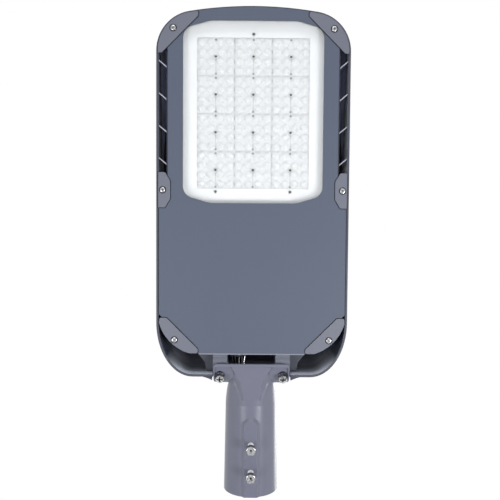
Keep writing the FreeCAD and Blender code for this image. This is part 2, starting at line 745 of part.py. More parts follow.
MODULES = []
for column in range(COLUMNS):
    for row in range(ROWS):
        x = (column - (COLUMNS - 1) / 2) * MODULE_PITCH
        y = field_y + (row - (ROWS - 1) / 2) * MODULE_PITCH
        MODULES.append((column, row, x, y))
lens_holes = [rod(SMALL_SCREW_R + THREAD_CLEAR, Vector(x, y, seat_z - EASE), UP, SEAT_THICK) for _, _, x, y in MODULES]
near_y = field_y + field_half_y + REFLECTOR_SCREW_GAP
REFLECTOR_PLACES = ((0, 2 * field_y - near_y), (-MODULE_PITCH, near_y), (MODULE_PITCH, near_y))
reflector_holes = [
    rod(SMALL_SCREW_R + THREAD_CLEAR, Vector(x, y, ledge_z - EASE), UP, REFLECTOR_SCREW + EASE)
    for x, y in REFLECTOR_PLACES
]
housing = cut(housing, ways)
housing = cut(housing, bolt_holes + lens_holes + reflector_holes + boss_holes + post_holes)
keep("upper_housing", housing)

# Silicone seal between the cover and the housing's wall
seal_outer = grown(cover_wire, -SEAL_SET)
seal_inner = grown(cover_wire, -SEAL_SET - SEAL_WIDTH)
keep("housing_gasket", slab(seal_outer, cover_seat_z, seal_top_z).cut(slab(seal_inner, cover_seat_z, seal_top_z)))

# Trim plates and their screws
plate_screws = []
clear_wire = grown(cover_wire, SEAM)
for name, form, (x, y) in PLATES:
    sink = rod(SINK_R, Vector(x, y, plate_face_z), UP, PAN_HEAD / 2)
    way = rod(SCREW_R + SCREW_CLEAR, Vector(x, y, plate_face_z), UP, PLATE_SCREW)
    plate = cut(form(plate_face_z, cover_seat_z), [slab(clear_wire, groove_z, cover_seat_z), sink, way])
    keep(name + "_right", plate)
    keep(name + "_left", flip(plate))
    head = rod(PAN_HEAD_R, Vector(x, y, plate_face_z - PAN_HEAD / 2), UP, PAN_HEAD)
    screw = join([head, rod(SCREW_R, Vector(x, y, plate_face_z), UP, PLATE_SCREW)])
    plate_screws += [screw, flip(screw)]
keep("plate_screws", Part.makeCompound(plate_screws))

# LED boards, their chips, the lens modules over them and the screws through both

lens_pitch = MODULE_PITCH / LENSES_PER_SIDE
lens_places = [(i - (LENSES_PER_SIDE - 1) / 2) * lens_pitch for i in range(LENSES_PER_SIDE)]
module_half = (MODULE_PITCH - MODULE_GAP) / 2


def lens_dome(x, y):
    rings = []
    for radius, z in ((LENS_FOOT_R, ledge_z + LENS_BASE / 4), (LENS_TOP_R, ledge_z - LENS_HEIGHT)):
        points = []
        for k in range(LENS_SIDES + 1):
            a = 2 * math.pi * k / LENS_SIDES
            points.append(Vector(x + radius * math.cos(a), y + LENS_OVAL * radius * math.sin(a), z))
        rings.append(Part.makePolygon(points))
    return Part.makeLoft(rings, True, True)


def lens_module(x, y):
    """A moulded square of lenses, with a thin rim and a screw boss against the board."""
    half = module_half
    inner = half - EASE
    base = box(x - half, x + half, y - half, y + half, ledge_z, board_z)
    hollow = box(x - inner, x + inner, y - inner, y + inner, board_z - LENS_RIM, board_z)
    boss = rod(LENS_BOSS_R, Vector(x, y, board_z - LENS_RIM), UP, LENS_RIM)
    module = join([base.cut(hollow), boss] + [lens_dome(x + dx, y + dy) for dx in lens_places for dy in lens_places])
    return module.cut(rod(SMALL_SCREW_R + SMALL_SCREW_CLEAR, Vector(x, y, ledge_z - LENS_HEIGHT), UP, TOP))


SIDE_NAMES = ("left", "centre", "right")
lens_screws = []
lens_screw = LENS_BASE + BOARD_THICK + SEAT_THICK - LENS_SCREW_SHORT
for column, row, x, y in MODULES:
    keep("lens_module_%d_%d" % (column + 1, row + 1), lens_module(x, y))
    head = rod(LENS_HEAD_R, Vector(x, y, ledge_z - LENS_HEAD), UP, LENS_HEAD)
    lens_screws.append(join([head, rod(SMALL_SCREW_R, Vector(x, y, ledge_z), UP, lens_screw)]))
keep("lens_screws", Part.makeCompound(lens_screws))

for column in range(COLUMNS):
    x = (column - (COLUMNS - 1) / 2) * MODULE_PITCH
    board = box(x - module_half, x + module_half, field_y - field_half_y, field_y + field_half_y, board_z, seat_z)
    if SIDE_NAMES[column] == "centre":
        board = join([board, box(-tab_half_x, tab_half_x, field_y, board_rear_y, board_z, seat_z)])
    places = [module_y for c, _, _, module_y in MODULES if c == column]
    board_ways = [
        rod(SMALL_SCREW_R + SMALL_SCREW_CLEAR, Vector(x, y, board_z - EASE), UP, 2 * BOARD_THICK) for y in places
    ]
    keep("led_board_" + SIDE_NAMES[column], cut(board, board_ways))
    chips = []
    for y in places:
        for dx in lens_places:
            for dy in lens_places:
                low_x = x + dx - CHIP / 2
                low_y = y + dy - CHIP / 2
                chips.append(box(low_x, low_x + CHIP, low_y, low_y + CHIP, board_z - CHIP_THICK, board_z))
    keep("led_chips_" + SIDE_NAMES[column], Part.makeCompound(chips))

# White reflector plate round the lens field
reflector_z = ledge_z - REFLECTOR_THICK
reflector = slab(window_outline(REFLECTOR_LAP), reflector_z, ledge_z)
hole_x = field_half_x + REFLECTOR_GAP / 2
hole_y = field_half_y + REFLECTOR_GAP / 2
reflector_ways = [box(-hole_x, hole_x, field_y - hole_y, field_y + hole_y, reflector_z, ledge_z)]
reflector_screws = []
for x, y in REFLECTOR_PLACES:
    reflector_ways.append(rod(SMALL_SCREW_R + SMALL_SCREW_CLEAR, Vector(x, y, reflector_z), UP, 2 * REFLECTOR_THICK))
    head = rod(REFLECTOR_HEAD_R, Vector(x, y, reflector_z - REFLECTOR_HEAD), UP, REFLECTOR_HEAD)
    reflector_screws.append(join([head, rod(SMALL_SCREW_R, Vector(x, y, reflector_z), UP, REFLECTOR_SCREW)]))
keep("white_reflector", cut(reflector, reflector_ways))
keep("reflector_screws", Part.makeCompound(reflector_screws))

# Gear tray with driver, surge protector and terminal block under it

tray = box(-tray_half_x, tray_half_x, tray_front_y, tray_rear_y, tray_z, tray_z + TRAY_THICK)
flange_x = tray_half_x - TRAY_FLANGE_IN
flange = box(-flange_x, flange_x, tray_rear_y - TRAY_THICK, tray_rear_y, tray_z - TRAY_FLANGE, tray_z)
tray_ways = [rod(SCREW_R + SCREW_CLEAR, Vector(x, y, tray_z), UP, 2 * TRAY_THICK) for x, y in TRAY_POSTS]
keep("gear_tray", cut(join([tray, flange]), tray_ways))


def hung_screws(places, under_z, length):
    """Pan-head screws pushed up from below, with their heads seated at under_z."""
    screws = []
    for x, y in places:
        head = rod(PAN_HEAD_R, Vector(x, y, under_z - PAN_HEAD), UP, PAN_HEAD)
        screws.append(join([head, rod(SCREW_R, Vector(x, y, under_z), UP, length)]))
    return Part.makeCompound(screws)


keep("gear_tray_screws", hung_screws(TRAY_POSTS, tray_z, TRAY_SCREW))

long_x, wide_y, tall_z = DRIVER_SIZE
driver_z = tray_z - tall_z
driver_end_x = long_x / 2
case = box(-driver_end_x, driver_end_x, driver_y - wide_y / 2, driver_y + wide_y / 2, driver_z, tray_z)
case = case.makeFillet(DRIVER_EDGE, [e for e in case.Edges if e.BoundBox.XLength > long_x - EASE])
ear_out_x = driver_end_x + EAR_REACH
ear_half_y = EAR_WIDTH / 2
ear = box(driver_end_x - EASE, ear_out_x, driver_y - ear_half_y, driver_y + ear_half_y, tray_z - EAR_THICK, tray_z)
ear_x = (driver_end_x + ear_out_x) / 2
EARS = [(-ear_x, driver_y), (ear_x, driver_y)]
ear_ways = [rod(SCREW_R + SCREW_CLEAR, Vector(x, y, tray_z - 2 * EAR_THICK), UP, 3 * EAR_THICK) for x, y in EARS]
keep("led_driver", cut(join([case, ear, flip(ear)]), ear_ways))
keep("driver_screws", hung_screws(EARS, tray_z - EAR_THICK, EAR_THICK))

sx, sy, sz = SURGE_SIZE
surge = box(SURGE_X - sx / 2, SURGE_X + sx / 2, surge_y - sy / 2, surge_y + sy / 2, tray_z - sz, tray_z)
keep("surge_protector", surge.makeFillet(SURGE_EDGE, [e for e in surge.Edges if e.BoundBox.ZLength > sz - EASE]))
tx, ty, tz = TERMINAL_SIZE
terminal_end_x = TERMINAL_X - tx / 2
terminal_rear_y = terminal_y + ty / 2
terminal_low_z = tray_z - tz
terminal = box(terminal_end_x, TERMINAL_X + tx / 2, terminal_y - ty / 2, terminal_rear_y, terminal_low_z, tray_z)
pole_pitch = tx / POLES
pole_half = 0.27 * pole_pitch
wire_ways = []
for i in range(POLES):
    x = TERMINAL_X + (i - (POLES - 1) / 2) * pole_pitch
    wire_ways.append(box(x - pole_half, x + pole_half, terminal_rear_y - ty / 4, terminal_rear_y,
                         terminal_low_z + 0.2 * tz, terminal_low_z + 0.6 * tz))
    wire_ways.append(rod(0.65 * pole_half, Vector(x, terminal_y, terminal_low_z), UP, tz / 4))
keep("terminal_block", cut(terminal, wire_ways))


def lead(points, radius):
    """A round lead along straight runs, with an arc at each turn as large as the runs allow."""
    points = [Vector(*p) for p in points]
    edges = []
    at = points[0]
    for i in range(1, len(points) - 1):
        before = points[i - 1] - points[i]
        after = points[i + 1] - points[i]
        back = 0.45 * min(before.Length, after.Length)
        before.normalize()
        after.normalize()
        half = math.acos(before.dot(after)) / 2
        bend = back * math.tan(half)
        start = points[i] + before * back
        end = points[i] + after * back
        middle = before + after
        middle.normalize()
        deep = points[i] + middle * (bend / math.sin(half) - bend)
        edges.append(Part.LineSegment(at, start).toShape())
        edges.append(Part.Arc(start, deep, end).toShape())
        at = end
    edges.append(Part.LineSegment(at, points[-1]).toShape())
    way = edges[0].tangentAt(edges[0].FirstParameter)
    section = Part.Wire([Part.Circle(points[0], way, radius).toShape()])
    return Part.Wire(edges).makePipeShell([section], True, False)


# the output lead leaves the driver's end, turns under its front and reaches the boards through the bulkhead
lead_z = seat_z - LEAD_R - THREAD_CLEAR
keep("driver_lead", lead([
    (driver_end_x, driver_y + 18, driver_z + 12),
    (driver_end_x + 16, driver_y + 18, driver_z + 12),
    (driver_end_x + 18, driver_y + 4, driver_z - 6),
    (driver_end_x - 6, driver_y - 18, driver_z - 9),
    (driver_end_x - 45, driver_y - 30, driver_z - 9.5),
    (4, driver_y - 42, lead_z + 0.1),
    (0, bulkhead_y + 2, lead_z),
    (0, board_rear_y, lead_z),
], LEAD_R))
# the mains lead leaves the terminal block's end and reaches the driver's other end
keep("mains_lead", lead([
    (terminal_end_x, terminal_y, tray_z - 9),
    (terminal_end_x - 20, terminal_y, tray_z - 9),
    (-driver_end_x - 6, driver_y + 58, tray_z - 18),
    (-driver_end_x - 14, driver_y + 32, tray_z - 22),
    (-driver_end_x - 14, driver_y + 10, tray_z - 22),
    (-driver_end_x, driver_y + 10, tray_z - 22),
], MAINS_R))

# Cable gland in the rear wall, with its lock nut inside
gland_tip = gland_at - ALONG * (WALL + NUT_THICK + GLAND_TIP)
bore_start = gland_tip - ALONG * EASE
gland = join([
    rod(GLAND_R, gland_tip, ALONG, WALL + NUT_THICK + GLAND_TIP),
    hexagon(GLAND_FLATS, gland_at, ALONG, GLAND_COLLAR),
    Part.makeCone(GLAND_CAP_RADII[0], GLAND_CAP_RADII[1], GLAND_CAP, gland_at + ALONG * GLAND_COLLAR, ALONG),
])
keep("cable_gland", gland.cut(rod(GLAND_BORE_R, bore_start, ALONG, TOP)))
nut = hexagon(NUT_FLATS, gland_at - ALONG * (WALL + NUT_THICK), ALONG, NUT_THICK)
keep("gland_nut", nut.cut(rod(GLAND_R + THREAD_CLEAR, bore_start, ALONG, TOP)))

# Spigot adapter: a tapered tube, a narrower neck and a yoke wrapped round the head's lugs


def sector(inner, outer, from_angle, to_angle, x0, x1):
    """A piece of ring about the hinge between two angles, from x0 to x1."""
    a, b, c, d = [
        hinge + radial(angle) * r
        for angle, r in ((from_angle, inner), (from_angle, outer), (to_angle, outer), (to_angle, inner))
    ]
    mid = radial((from_angle + to_angle) / 2)
    face = Part.Face(Part.Wire([
        Part.LineSegment(a, b).toShape(),
        Part.Arc(b, hinge + mid * outer, c).toShape(),
        Part.LineSegment(c, d).toShape(),
        Part.Arc(d, hinge + mid * inner, a).toShape(),
    ]))
    face.translate(Vector(x0, 0, 0))
    return face.extrude(Vector(x1 - x0, 0, 0))


def across(half_x, z0, z1, corner, y):
    """A rounded rectangle that stands across the adapter at y, as a closed wire."""
    flat = rounded([(-half_x, z0, corner), (half_x, z0, corner), (half_x, z1, corner), (-half_x, z1, corner)])
    flat.rotate(Vector(0, 0, 0), ACROSS, 90)
    flat.translate(Vector(0, y, 0))
    return flat


def across_round(radius, y):
    return across(radius, -radius, radius, radius - 0.05, y)


tube_r = BORE_R + TUBE_WALL
tube_end_r = tube_r - TUBE_TAPER
tube_end_y = HINGE_Y + TUBE_PAST_HINGE
shoulder_y = HINGE_Y + SHOULDER_PAST_HINGE
neck_y = HINGE_Y + NECK_PAST_HINGE
neck_top_z = HINGE_Z + NECK_TOP
neck_bottom_z = HINGE_Z - NECK_BOTTOM
tube = Part.makeCone(tube_end_r, tube_r, -tube_end_y, Vector(0, tube_end_y, 0), ALONG)
neck_section = across(NECK_HALF_X, neck_bottom_z, neck_top_z, NECK_CORNER, neck_y)
shoulder = Part.makeLoft([
    across_round(tube_end_r, tube_end_y),
    across(SHOULDER_HALF_X, HINGE_Z - SHOULDER_BOTTOM, HINGE_Z + SHOULDER_TOP, SHOULDER_CORNER, shoulder_y),
    neck_section,
], True, False)
neck = Part.makeLoft([
    neck_section,
    across(NECK_HALF_X - EASE, neck_bottom_z + EASE, neck_top_z - EASE, NECK_CORNER - EASE, hood_y),
], True, True)

# the yoke's ears are sunk inside a rim, and carry the curved slots
slot_half = BOLT_R + SLOT_CLEAR
slot_from = BOLT_ANGLE + TILT_MIN
slot_to = BOLT_ANGLE + TILT_MAX
yoke_end = slot_to + math.degrees((slot_half + SLOT_END_WALL) / yoke_floor)
yoke_front_y = HINGE_Y + yoke_outer * math.sin(math.radians(YOKE_FRONT))
yoke_end_y = HINGE_Y + yoke_outer * math.sin(math.radians(yoke_end))
yoke = sector(yoke_inner, yoke_outer, YOKE_FRONT, yoke_end, -yoke_half_x, yoke_half_x)
yoke = yoke.common(slab(rounded([
    (-yoke_half_x, yoke_front_y, YOKE_CORNER), (yoke_half_x, yoke_front_y, YOKE_CORNER),
    (yoke_half_x, yoke_end_y, EAR_CORNER), (-yoke_half_x, yoke_end_y, EAR_CORNER),
]), -TOP, TOP))
spine_y = [HINGE_Y + place for place in SPINE_PLACES]
pocket_start = YOKE_FRONT + math.degrees(YOKE_LIP_WIDTH / yoke_outer)
pocket_y = HINGE_Y + yoke_outer * math.sin(math.radians(pocket_start))
pocket_x = yoke_half_x - YOKE_RIM_WIDTH
ear_pocket = sector(yoke_floor, yoke_outer + EAR_CORNER, pocket_start, yoke_end + EAR_CORNER, 0, pocket_x + EASE)
ear_pocket = ear_pocket.common(slab(rounded([
    (SPINE_HALVES[0], pocket_y, 0), (pocket_x, pocket_y, YOKE_CORNER / 2), (pocket_x, 0, 0),
    (SPINE_HALVES[2], 0, 0), (SPINE_HALVES[1], spine_y[1], 0),
]), -TOP, TOP))
yoke = cut(yoke, [ear_pocket, flip(ear_pocket)])

# the spine is a flat that narrows from the yoke to the tube, with slanting flanks
spine_z = HINGE_Z - yoke_outer - SPINE_PROUD
spine_sections = []
for z, spread in ((spine_z, 0), (spine_z + SPINE_FLANK_DEPTH, 1)):
    points = [Vector(half + spread * out, y, z) for half, out, y in zip(SPINE_HALVES, SPINE_FLANKS, spine_y)]
    points += [Vector(-p.x, p.y, p.z) for p in reversed(points)]
    spine_sections.append(Part.makePolygon(points + points[:1]))
spine = Part.makeLoft(spine_sections, True, True)

# the pad under the tube takes the threads of the clamp screws
pad_z = -tube_r - PAD_PROUD
pad = box(-PAD_HALF_X, PAD_HALF_X, -PAD_LENGTH, 0, pad_z, -BORE_R - EASE)
pad = soften(pad, PAD_ARCH, [(-PAD_HALF_X, -PAD_LENGTH), (PAD_HALF_X, -PAD_LENGTH)])
pad_edges = [e for e in pad.Edges if abs(e.BoundBox.ZMax - pad_z) < 0.01 and e.BoundBox.YMin < -EASE]
pad = pad.makeChamfer(PAD_BEVEL, pad_edges)

adapter = join([tube, shoulder, neck, yoke, spine, pad])
clear_space = rod(yoke_inner, hinge - ACROSS * far_x, ACROSS, 2 * far_x)
bore = rod(BORE_R, Vector(0, -BORE_LENGTH, 0), ALONG, BORE_LENGTH + EASE)
wire_way = Part.makeLoft([
    across_round(BORE_R - STOP_LEDGE, -BORE_LENGTH),
    across(NECK_HALF_X - NECK_WALL, neck_bottom_z + NECK_WALL, neck_top_z - NECK_WALL, NECK_CORNER - NECK_WALL, hood_y),
], True, True)
slots = []
for x in (-bolt_x, bolt_x):
    slots.append(sector(yoke_inner - EASE, yoke_outer + EASE, slot_from, slot_to, x - slot_half, x + slot_half))
    for swing in (slot_from, slot_to):
        way = radial(swing)
        start = hinge + Vector(x, 0, 0) + way * (yoke_inner - EASE)
        slots.append(rod(slot_half, start, way, yoke_outer - yoke_inner + 2 * EASE))
clamp_holes = [
    rod(CLAMP_R + THREAD_CLEAR, Vector(0, -place, pad_z - EASE), UP, -BORE_R + 2 * EASE - pad_z) for place in CLAMP_PLACES
]
keep("spigot_adapter", cut(adapter, [clear_space, bore, wire_way] + slots + clamp_holes))

# Clamp screws, backed out so that the pole can slide in
clamp_screws = []
for place in CLAMP_PLACES:
    under_head = Vector(0, -place, pad_z - CLAMP_STAND)
    low = under_head - UP * CLAMP_HEAD
    shank = rod(CLAMP_R, under_head, UP, -BORE_R - CLAMP_TIP_GAP - under_head.z)
    head = rod(CLAMP_HEAD_R, low, UP, CLAMP_HEAD)
    clamp_screws.append(join([shank, head]).cut(hexagon(SOCKET_FLATS, low, UP, SOCKET_DEPTH)))
keep("clamp_screws", Part.makeCompound(clamp_screws))

# Tilt bolts, each with a flat washer on the ear and a spring washer under its head
washer_r = yoke_floor + TILT_GAP
spring_r = washer_r + WASHER_THICK
head_r = spring_r + SPRING_THICK
bolts = []
flat_washers = []
spring_washers = []
for x in (-bolt_x, bolt_x):
    foot = hinge + Vector(x, 0, 0)
    hole = rod(BOLT_R + SMALL_SCREW_CLEAR, foot, bolt_way, TOP)
    bolts.append(join([
        rod(BOLT_R, foot + bolt_way * bolt_tip, bolt_way, head_r - bolt_tip),
        hexagon(BOLT_FLATS, foot + bolt_way * head_r, bolt_way, BOLT_HEAD),
    ]))
    flat_washers.append(rod(WASHER_R, foot + bolt_way * washer_r, bolt_way, WASHER_THICK).cut(hole))
    spring_washers.append(rod(SPRING_R, foot + bolt_way * spring_r, bolt_way, SPRING_THICK).cut(hole))
keep("tilt_bolts", Part.makeCompound(bolts))
keep("tilt_washers", Part.makeCompound(flat_washers))
keep("tilt_spring_washers", Part.makeCompound(spring_washers))

os.makedirs("parts", exist_ok=True)
for name, shape in NODES.items():
    shape.exportStep("parts/" + name + ".step")
    print("%-22s %3d solids %9.1f mm3 %s" % (
        name, len(shape.Solids), shape.Volume, "valid" if shape.isValid() else "NOT VALID"))
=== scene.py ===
import math

import bmesh
import bpy
from mathutils import Matrix, Vector


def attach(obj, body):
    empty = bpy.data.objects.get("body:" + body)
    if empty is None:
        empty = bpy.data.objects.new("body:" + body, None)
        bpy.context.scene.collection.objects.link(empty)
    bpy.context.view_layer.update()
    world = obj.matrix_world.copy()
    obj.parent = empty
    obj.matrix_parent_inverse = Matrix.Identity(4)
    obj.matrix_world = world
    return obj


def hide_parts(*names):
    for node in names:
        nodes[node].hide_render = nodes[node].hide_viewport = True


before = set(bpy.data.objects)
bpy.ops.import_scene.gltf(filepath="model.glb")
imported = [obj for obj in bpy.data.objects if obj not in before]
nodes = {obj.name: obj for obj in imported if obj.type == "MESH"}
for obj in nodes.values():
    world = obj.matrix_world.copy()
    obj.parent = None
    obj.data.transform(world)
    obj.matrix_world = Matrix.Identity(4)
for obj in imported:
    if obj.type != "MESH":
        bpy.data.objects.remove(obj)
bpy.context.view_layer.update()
MM = 0.001

# Camera: it looks straight up at the light side of the head, from just in front of its middle,
# with the pole end at the foot of the picture, as the photograph does.
CAMERA_AT = (-0.0066, -0.3826, -0.9370)
CAMERA_RIGHT = Vector((0.99997, -0.007184, -0.003639))
CAMERA_UP = Vector((-0.006981, -0.998565, 0.053057))
CAMERA_AHEAD = Vector((0.004014, 0.05303, 0.99858))
CAMERA_LENS = 48.96
CAMERA_SENSOR = 36.0
bpy.ops.object.camera_add(location=CAMERA_AT)
camera = bpy.context.object
camera.name = "camera"
camera.rotation_euler = Matrix((CAMERA_RIGHT, CAMERA_UP, -CAMERA_AHEAD)).transposed().to_euler()
camera.data.lens = CAMERA_LENS
camera.data.sensor_width = CAMERA_SENSOR
bpy.context.scene.camera = camera
bpy.context.scene.view_settings.view_transform = "Standard"

# Studio: a pale matt floor under the head, softboxes on both sides that give the spigot its two
# soft highlights, a fill past the nose and a weak one past the pole, two lamps over the top side,
# and a white backdrop from the world. FLOOR_LIFT is what the camera alone sees added to the floor.
FLOOR_Z = -1.7
FLOOR_SIZE = 9.0
FLOOR_TONE = (0.86, 0.86, 0.87)
FLOOR_LIFT = 0.35
AMBIENT = 0.40
LAMPS = (
    ("right_softbox", (0.62, -0.05, -0.91), (0.24, 0.34), 6.0),
    ("left_softbox", (-0.62, -0.05, -0.91), (0.20, 0.34), 3.9),
    ("nose_softbox", (0.0, -1.75, -0.95), (1.2, 0.5), 7.6),
    ("pole_softbox", (0.0, 1.15, -0.95), (1.2, 0.5), 0.8),
    ("top_softbox", (-0.5, -0.6, 1.6), (1.4, 1.4), 22.0),
    ("top_side_softbox", (1.1, 0.2, 1.5), (1.0, 1.0), 10.0),
)
MIDDLE = Vector((0.0, -0.33, -0.02))


class Signal:
    """One output of a node, so that shader maths reads as plain sums."""

    def __init__(self, graph, socket):
        self.graph = graph
        self.socket = socket

    def sum(self, operation, *terms):
        return self.graph.node("ShaderNodeMath", {"operation": operation}, dict(enumerate(terms)))

    def __add__(self, other):
        return self.sum("ADD", self, other)

    __radd__ = __add__

    def __sub__(self, other):
        return self.sum("SUBTRACT", self, other)

    def __rsub__(self, other):
        return self.sum("SUBTRACT", other, self)

    def __mul__(self, other):
        return self.sum("MULTIPLY", self, other)

    __rmul__ = __mul__

    def __truediv__(self, other):
        return self.sum("DIVIDE", self, other)

    def __pow__(self, other):
        return self.sum("POWER", self, other)

    def __mod__(self, other):
        return self.sum("FLOORED_MODULO", self, other)

    def __lt__(self, other):
        return self.sum("LESS_THAN", self, other)

    def __gt__(self, other):
        return self.sum("GREATER_THAN", self, other)

    def __abs__(self):
        return self.sum("ABSOLUTE", self)

    def most(self, other):
        return self.sum("MAXIMUM", self, other)

    def least(self, other):
        return self.sum("MINIMUM", self, other)

    def clipped(self):
        return self.most(0.0).least(1.0)


class Graph:
    """The nodes of one material, or of the world."""

    def __init__(self, owner):
        owner.use_nodes = True
        self.owner = owner
        self.tree = owner.node_tree
        self.tree.nodes.clear()

    def node(self, kind, settings=None, inputs=None, output=0):
        made = self.tree.nodes.new(kind)
        for key, value in (settings or {}).items():
            setattr(made, key, value)
        for key, value in (inputs or {}).items():
            if isinstance(value, Signal):
                self.tree.links.new(value.socket, made.inputs[key])
            else:
                made.inputs[key].default_value = value
        return Signal(self, made.outputs[output]) if made.outputs else made

    def place(self, output="Object"):
        return self.node("ShaderNodeTexCoord", output=output)

    def axes(self, place=None):
        where = place or self.place()
        return [self.node("ShaderNodeSeparateXYZ", None, {0: where}, axis) for axis in "XYZ"]

    def facing(self, output="Normal"):
        """The way the surface faces in the piece's own axes, so that masks turn with it."""
        normal = self.node("ShaderNodeNewGeometry", output=output)
        turn = {"vector_type": "NORMAL", "convert_from": "WORLD", "convert_to": "OBJECT"}
        return self.axes(self.node("ShaderNodeVectorTransform", turn, {"Vector": normal}))

    def noise(self, scale, detail=2.0, roughness=0.5, place=None):
        where = place or self.place()
        inputs = {"Vector": where, "Scale": scale, "Detail": detail, "Roughness": roughness}
        return self.node("ShaderNodeTexNoise", None, inputs)

    def mix(self, share, first, second):
        def tone(value):
            return value if isinstance(value, Signal) else (*value, 1.0)

        inputs = {0: share, 6: tone(first), 7: tone(second)}
        return self.node("ShaderNodeMix", {"data_type": "RGBA"}, inputs, 2)

    def bump(self, height, distance, strength=1.0, normal=None):
        inputs = {"Height": height, "Distance": distance, "Strength": strength}
        if normal:
            inputs["Normal"] = normal
        return self.node("ShaderNodeBump", None, inputs)

    def surface(self, tone, **looks):
        """A Principled shader on the output; looks are its sockets, with _ for a space."""
        sockets = {key.replace("_", " "): value for key, value in looks.items()}
        sockets["Base Color"] = tone if isinstance(tone, Signal) else (*tone, 1.0)
        shader = self.node("ShaderNodeBsdfPrincipled", None, sockets)
        self.node("ShaderNodeOutputMaterial", None, {"Surface": shader})
        return self.owner


def only(piece):
    """Leaves one piece selected and active, so that an operator acts on it alone."""
    bpy.ops.object.select_all(action="DESELECT")
    piece.select_set(True)
    bpy.context.view_layer.objects.active = piece


def paint(piece, finish):
    """Gives a whole piece one finish."""
    piece.data.materials.clear()
    piece.data.materials.append(finish)


world = bpy.data.worlds.new("studio_white")
bpy.context.scene.world = world
sky = Graph(world)
camera_sees, gloss_sees, glass_sees = [
    sky.node("ShaderNodeLightPath", output=f"Is {ray} Ray") for ray in ("Camera", "Glossy", "Transmission")]
brightness = camera_sees.most(gloss_sees).most(glass_sees) * (1.0 - AMBIENT) + AMBIENT
backdrop = sky.node("ShaderNodeBackground", None, {"Color": (1.0, 1.0, 1.0, 1.0), "Strength": brightness})
sky.node("ShaderNodeOutputWorld", None, {"Surface": backdrop})

for lamp_name, lamp_at, lamp_size, power in LAMPS:
    bpy.ops.object.light_add(type="AREA", location=lamp_at)
    lamp = bpy.context.object
    lamp.name = lamp_name
    lamp.data.shape = "RECTANGLE"
    lamp.data.size, lamp.data.size_y = lamp_size
    lamp.data.energy = power
    lamp.rotation_euler = (MIDDLE - Vector(lamp_at)).to_track_quat("-Z", "Y").to_euler()
    lamp.visible_camera = False

bpy.ops.mesh.primitive_plane_add(size=FLOOR_SIZE, location=(MIDDLE.x, MIDDLE.y, FLOOR_Z))
floor = bpy.context.object
floor.name = "studio_floor"
matt = Graph(bpy.data.materials.new("floor_matt"))
floor_tone = matt.mix(matt.noise(3.0), FLOOR_TONE, [0.985 * tone for tone in FLOOR_TONE])
camera_ray = matt.node("ShaderNodeLightPath", output="Is Camera Ray")
paint(floor, matt.surface(
    floor_tone, Roughness=0.9, Emission_Color=matt.mix(camera_ray, (0.0, 0.0, 0.0), (1.0, 1.0, 1.0)),
    Emission_Strength=FLOOR_LIFT))

# Upper housing: a pressure die-cast aluminium shell with its fins, side ribs, hood and two lugs
# in one casting, coated with slate grey polyester powder. Its cast edges are softly rounded.
HOUSING_TONE = (0.062, 0.068, 0.095)
HOUSING_DEEP = (0.051, 0.057, 0.082)
CAST_EDGE = 1.6 * MM
BARE_METAL = (0.80, 0.82, 0.84)
HOOD_LIT_TONE = (0.82, 0.87, 0.98)
LUG_LIT_TONE = (0.146, 0.158, 0.204)
RIB_HIGHLIGHT_TONE = (0.46, 0.48, 0.54)
SLOT_LIT_TONE = (0.42, 0.47, 0.66)
CLOUD_SCALE = 9.0
PEEL_SCALE = 620.0
PEEL_DEPTH = 0.03 * MM
FLECK_SCALE = 2600.0
FLECK_SHARE = 0.16
FIELD_Y = -516.0 * MM
SEAT_HALVES = (79.5 * MM, 106.0 * MM)
SEAT_Z = -11.9 * MM
HOOD_MIDDLE_Y = -175.0 * MM
HOOD_START_Y = -192.0 * MM
HOOD_FADE = 20.0 * MM
HOOD_START_X = 52.0 * MM
HOOD_ROOF_Z = 45.0 * MM
HOOD_HEIGHT = 60.0 * MM
LUG_SPAN = (32.0 * MM, 51.7 * MM)
LUG_START_Y = -193.5 * MM
LUG_TOP_Z = 10.0 * MM
SLOT_SPAN = (108.0 * MM, 124.5 * MM)
SLOT_MIDDLE_Y = -515.0 * MM
SLOT_HALF_Y = 98.0 * MM
SLOT_HEIGHTS = (-28.5 * MM, 12.0 * MM)
RIB_EDGE_Z = -29.5 * MM


def powder_coat(name, tone, deep, roughness, edge=None, bare=()):
    """Powder paint: a faint orange peel, clouds of tone and small worn specks.

    bare lists places that take another tone, each as a share worked out from x, y and z,
    with the tone there: bare metal, painted light and painted shade.
    """
    coat = Graph(bpy.data.materials.new(name))
    place = coat.place()
    clouds = coat.noise(CLOUD_SCALE, 4.0, 0.55, place)
    peel = coat.noise(PEEL_SCALE, 2.0, 0.5, place)
    fleck = coat.noise(FLECK_SCALE, 1.0, 0.5, place)
    base = coat.mix(clouds, deep, tone)
    flecked = coat.mix((fleck > 0.68) * FLECK_SHARE, base, [min(1.0, 2.2 * part) for part in tone])
    rounded = None
    if edge:
        rounded = coat.node("ShaderNodeBevel", {"samples": 6}, {"Radius": edge})
    # Each place takes its tone; these are bare metal, painted light and painted shade.
    for where, metal in bare:
        flecked = coat.mix(where(coat, *coat.axes(place)), flecked, metal)
    normal = coat.bump(peel, PEEL_DEPTH, 0.7, rounded)
    return coat.surface(flecked, Roughness=roughness + (clouds - 0.5) * 0.12, Normal=normal)


def between(value, low, high):
    """Where a value lies between two limits."""
    return (value > low) * (value < high)


def board_seat(coat, x, y, z):
    """The machined seat of the light boards is left bare, to pass the heat on."""
    looks_down = coat.facing()[2] < -0.5
    return (abs(x) < SEAT_HALVES[0]) * (abs(y - FIELD_Y) < SEAT_HALVES[1]) * (z < SEAT_Z) * looks_down


def hood_painted_light(coat, x, y, z):
    """Painted light on the inner faces of the hood, full from the rim up and fading towards the roof."""
    face = coat.facing()
    inward = x * face[0] + (y - HOOD_MIDDLE_Y) * face[1] + z * face[2] < 0.0
    depth = ((HOOD_ROOF_Z - z) / HOOD_HEIGHT).clipped()
    towards_end = ((y - HOOD_START_Y) / HOOD_FADE).clipped()
    return inward * towards_end * (abs(x) > HOOD_START_X) * depth


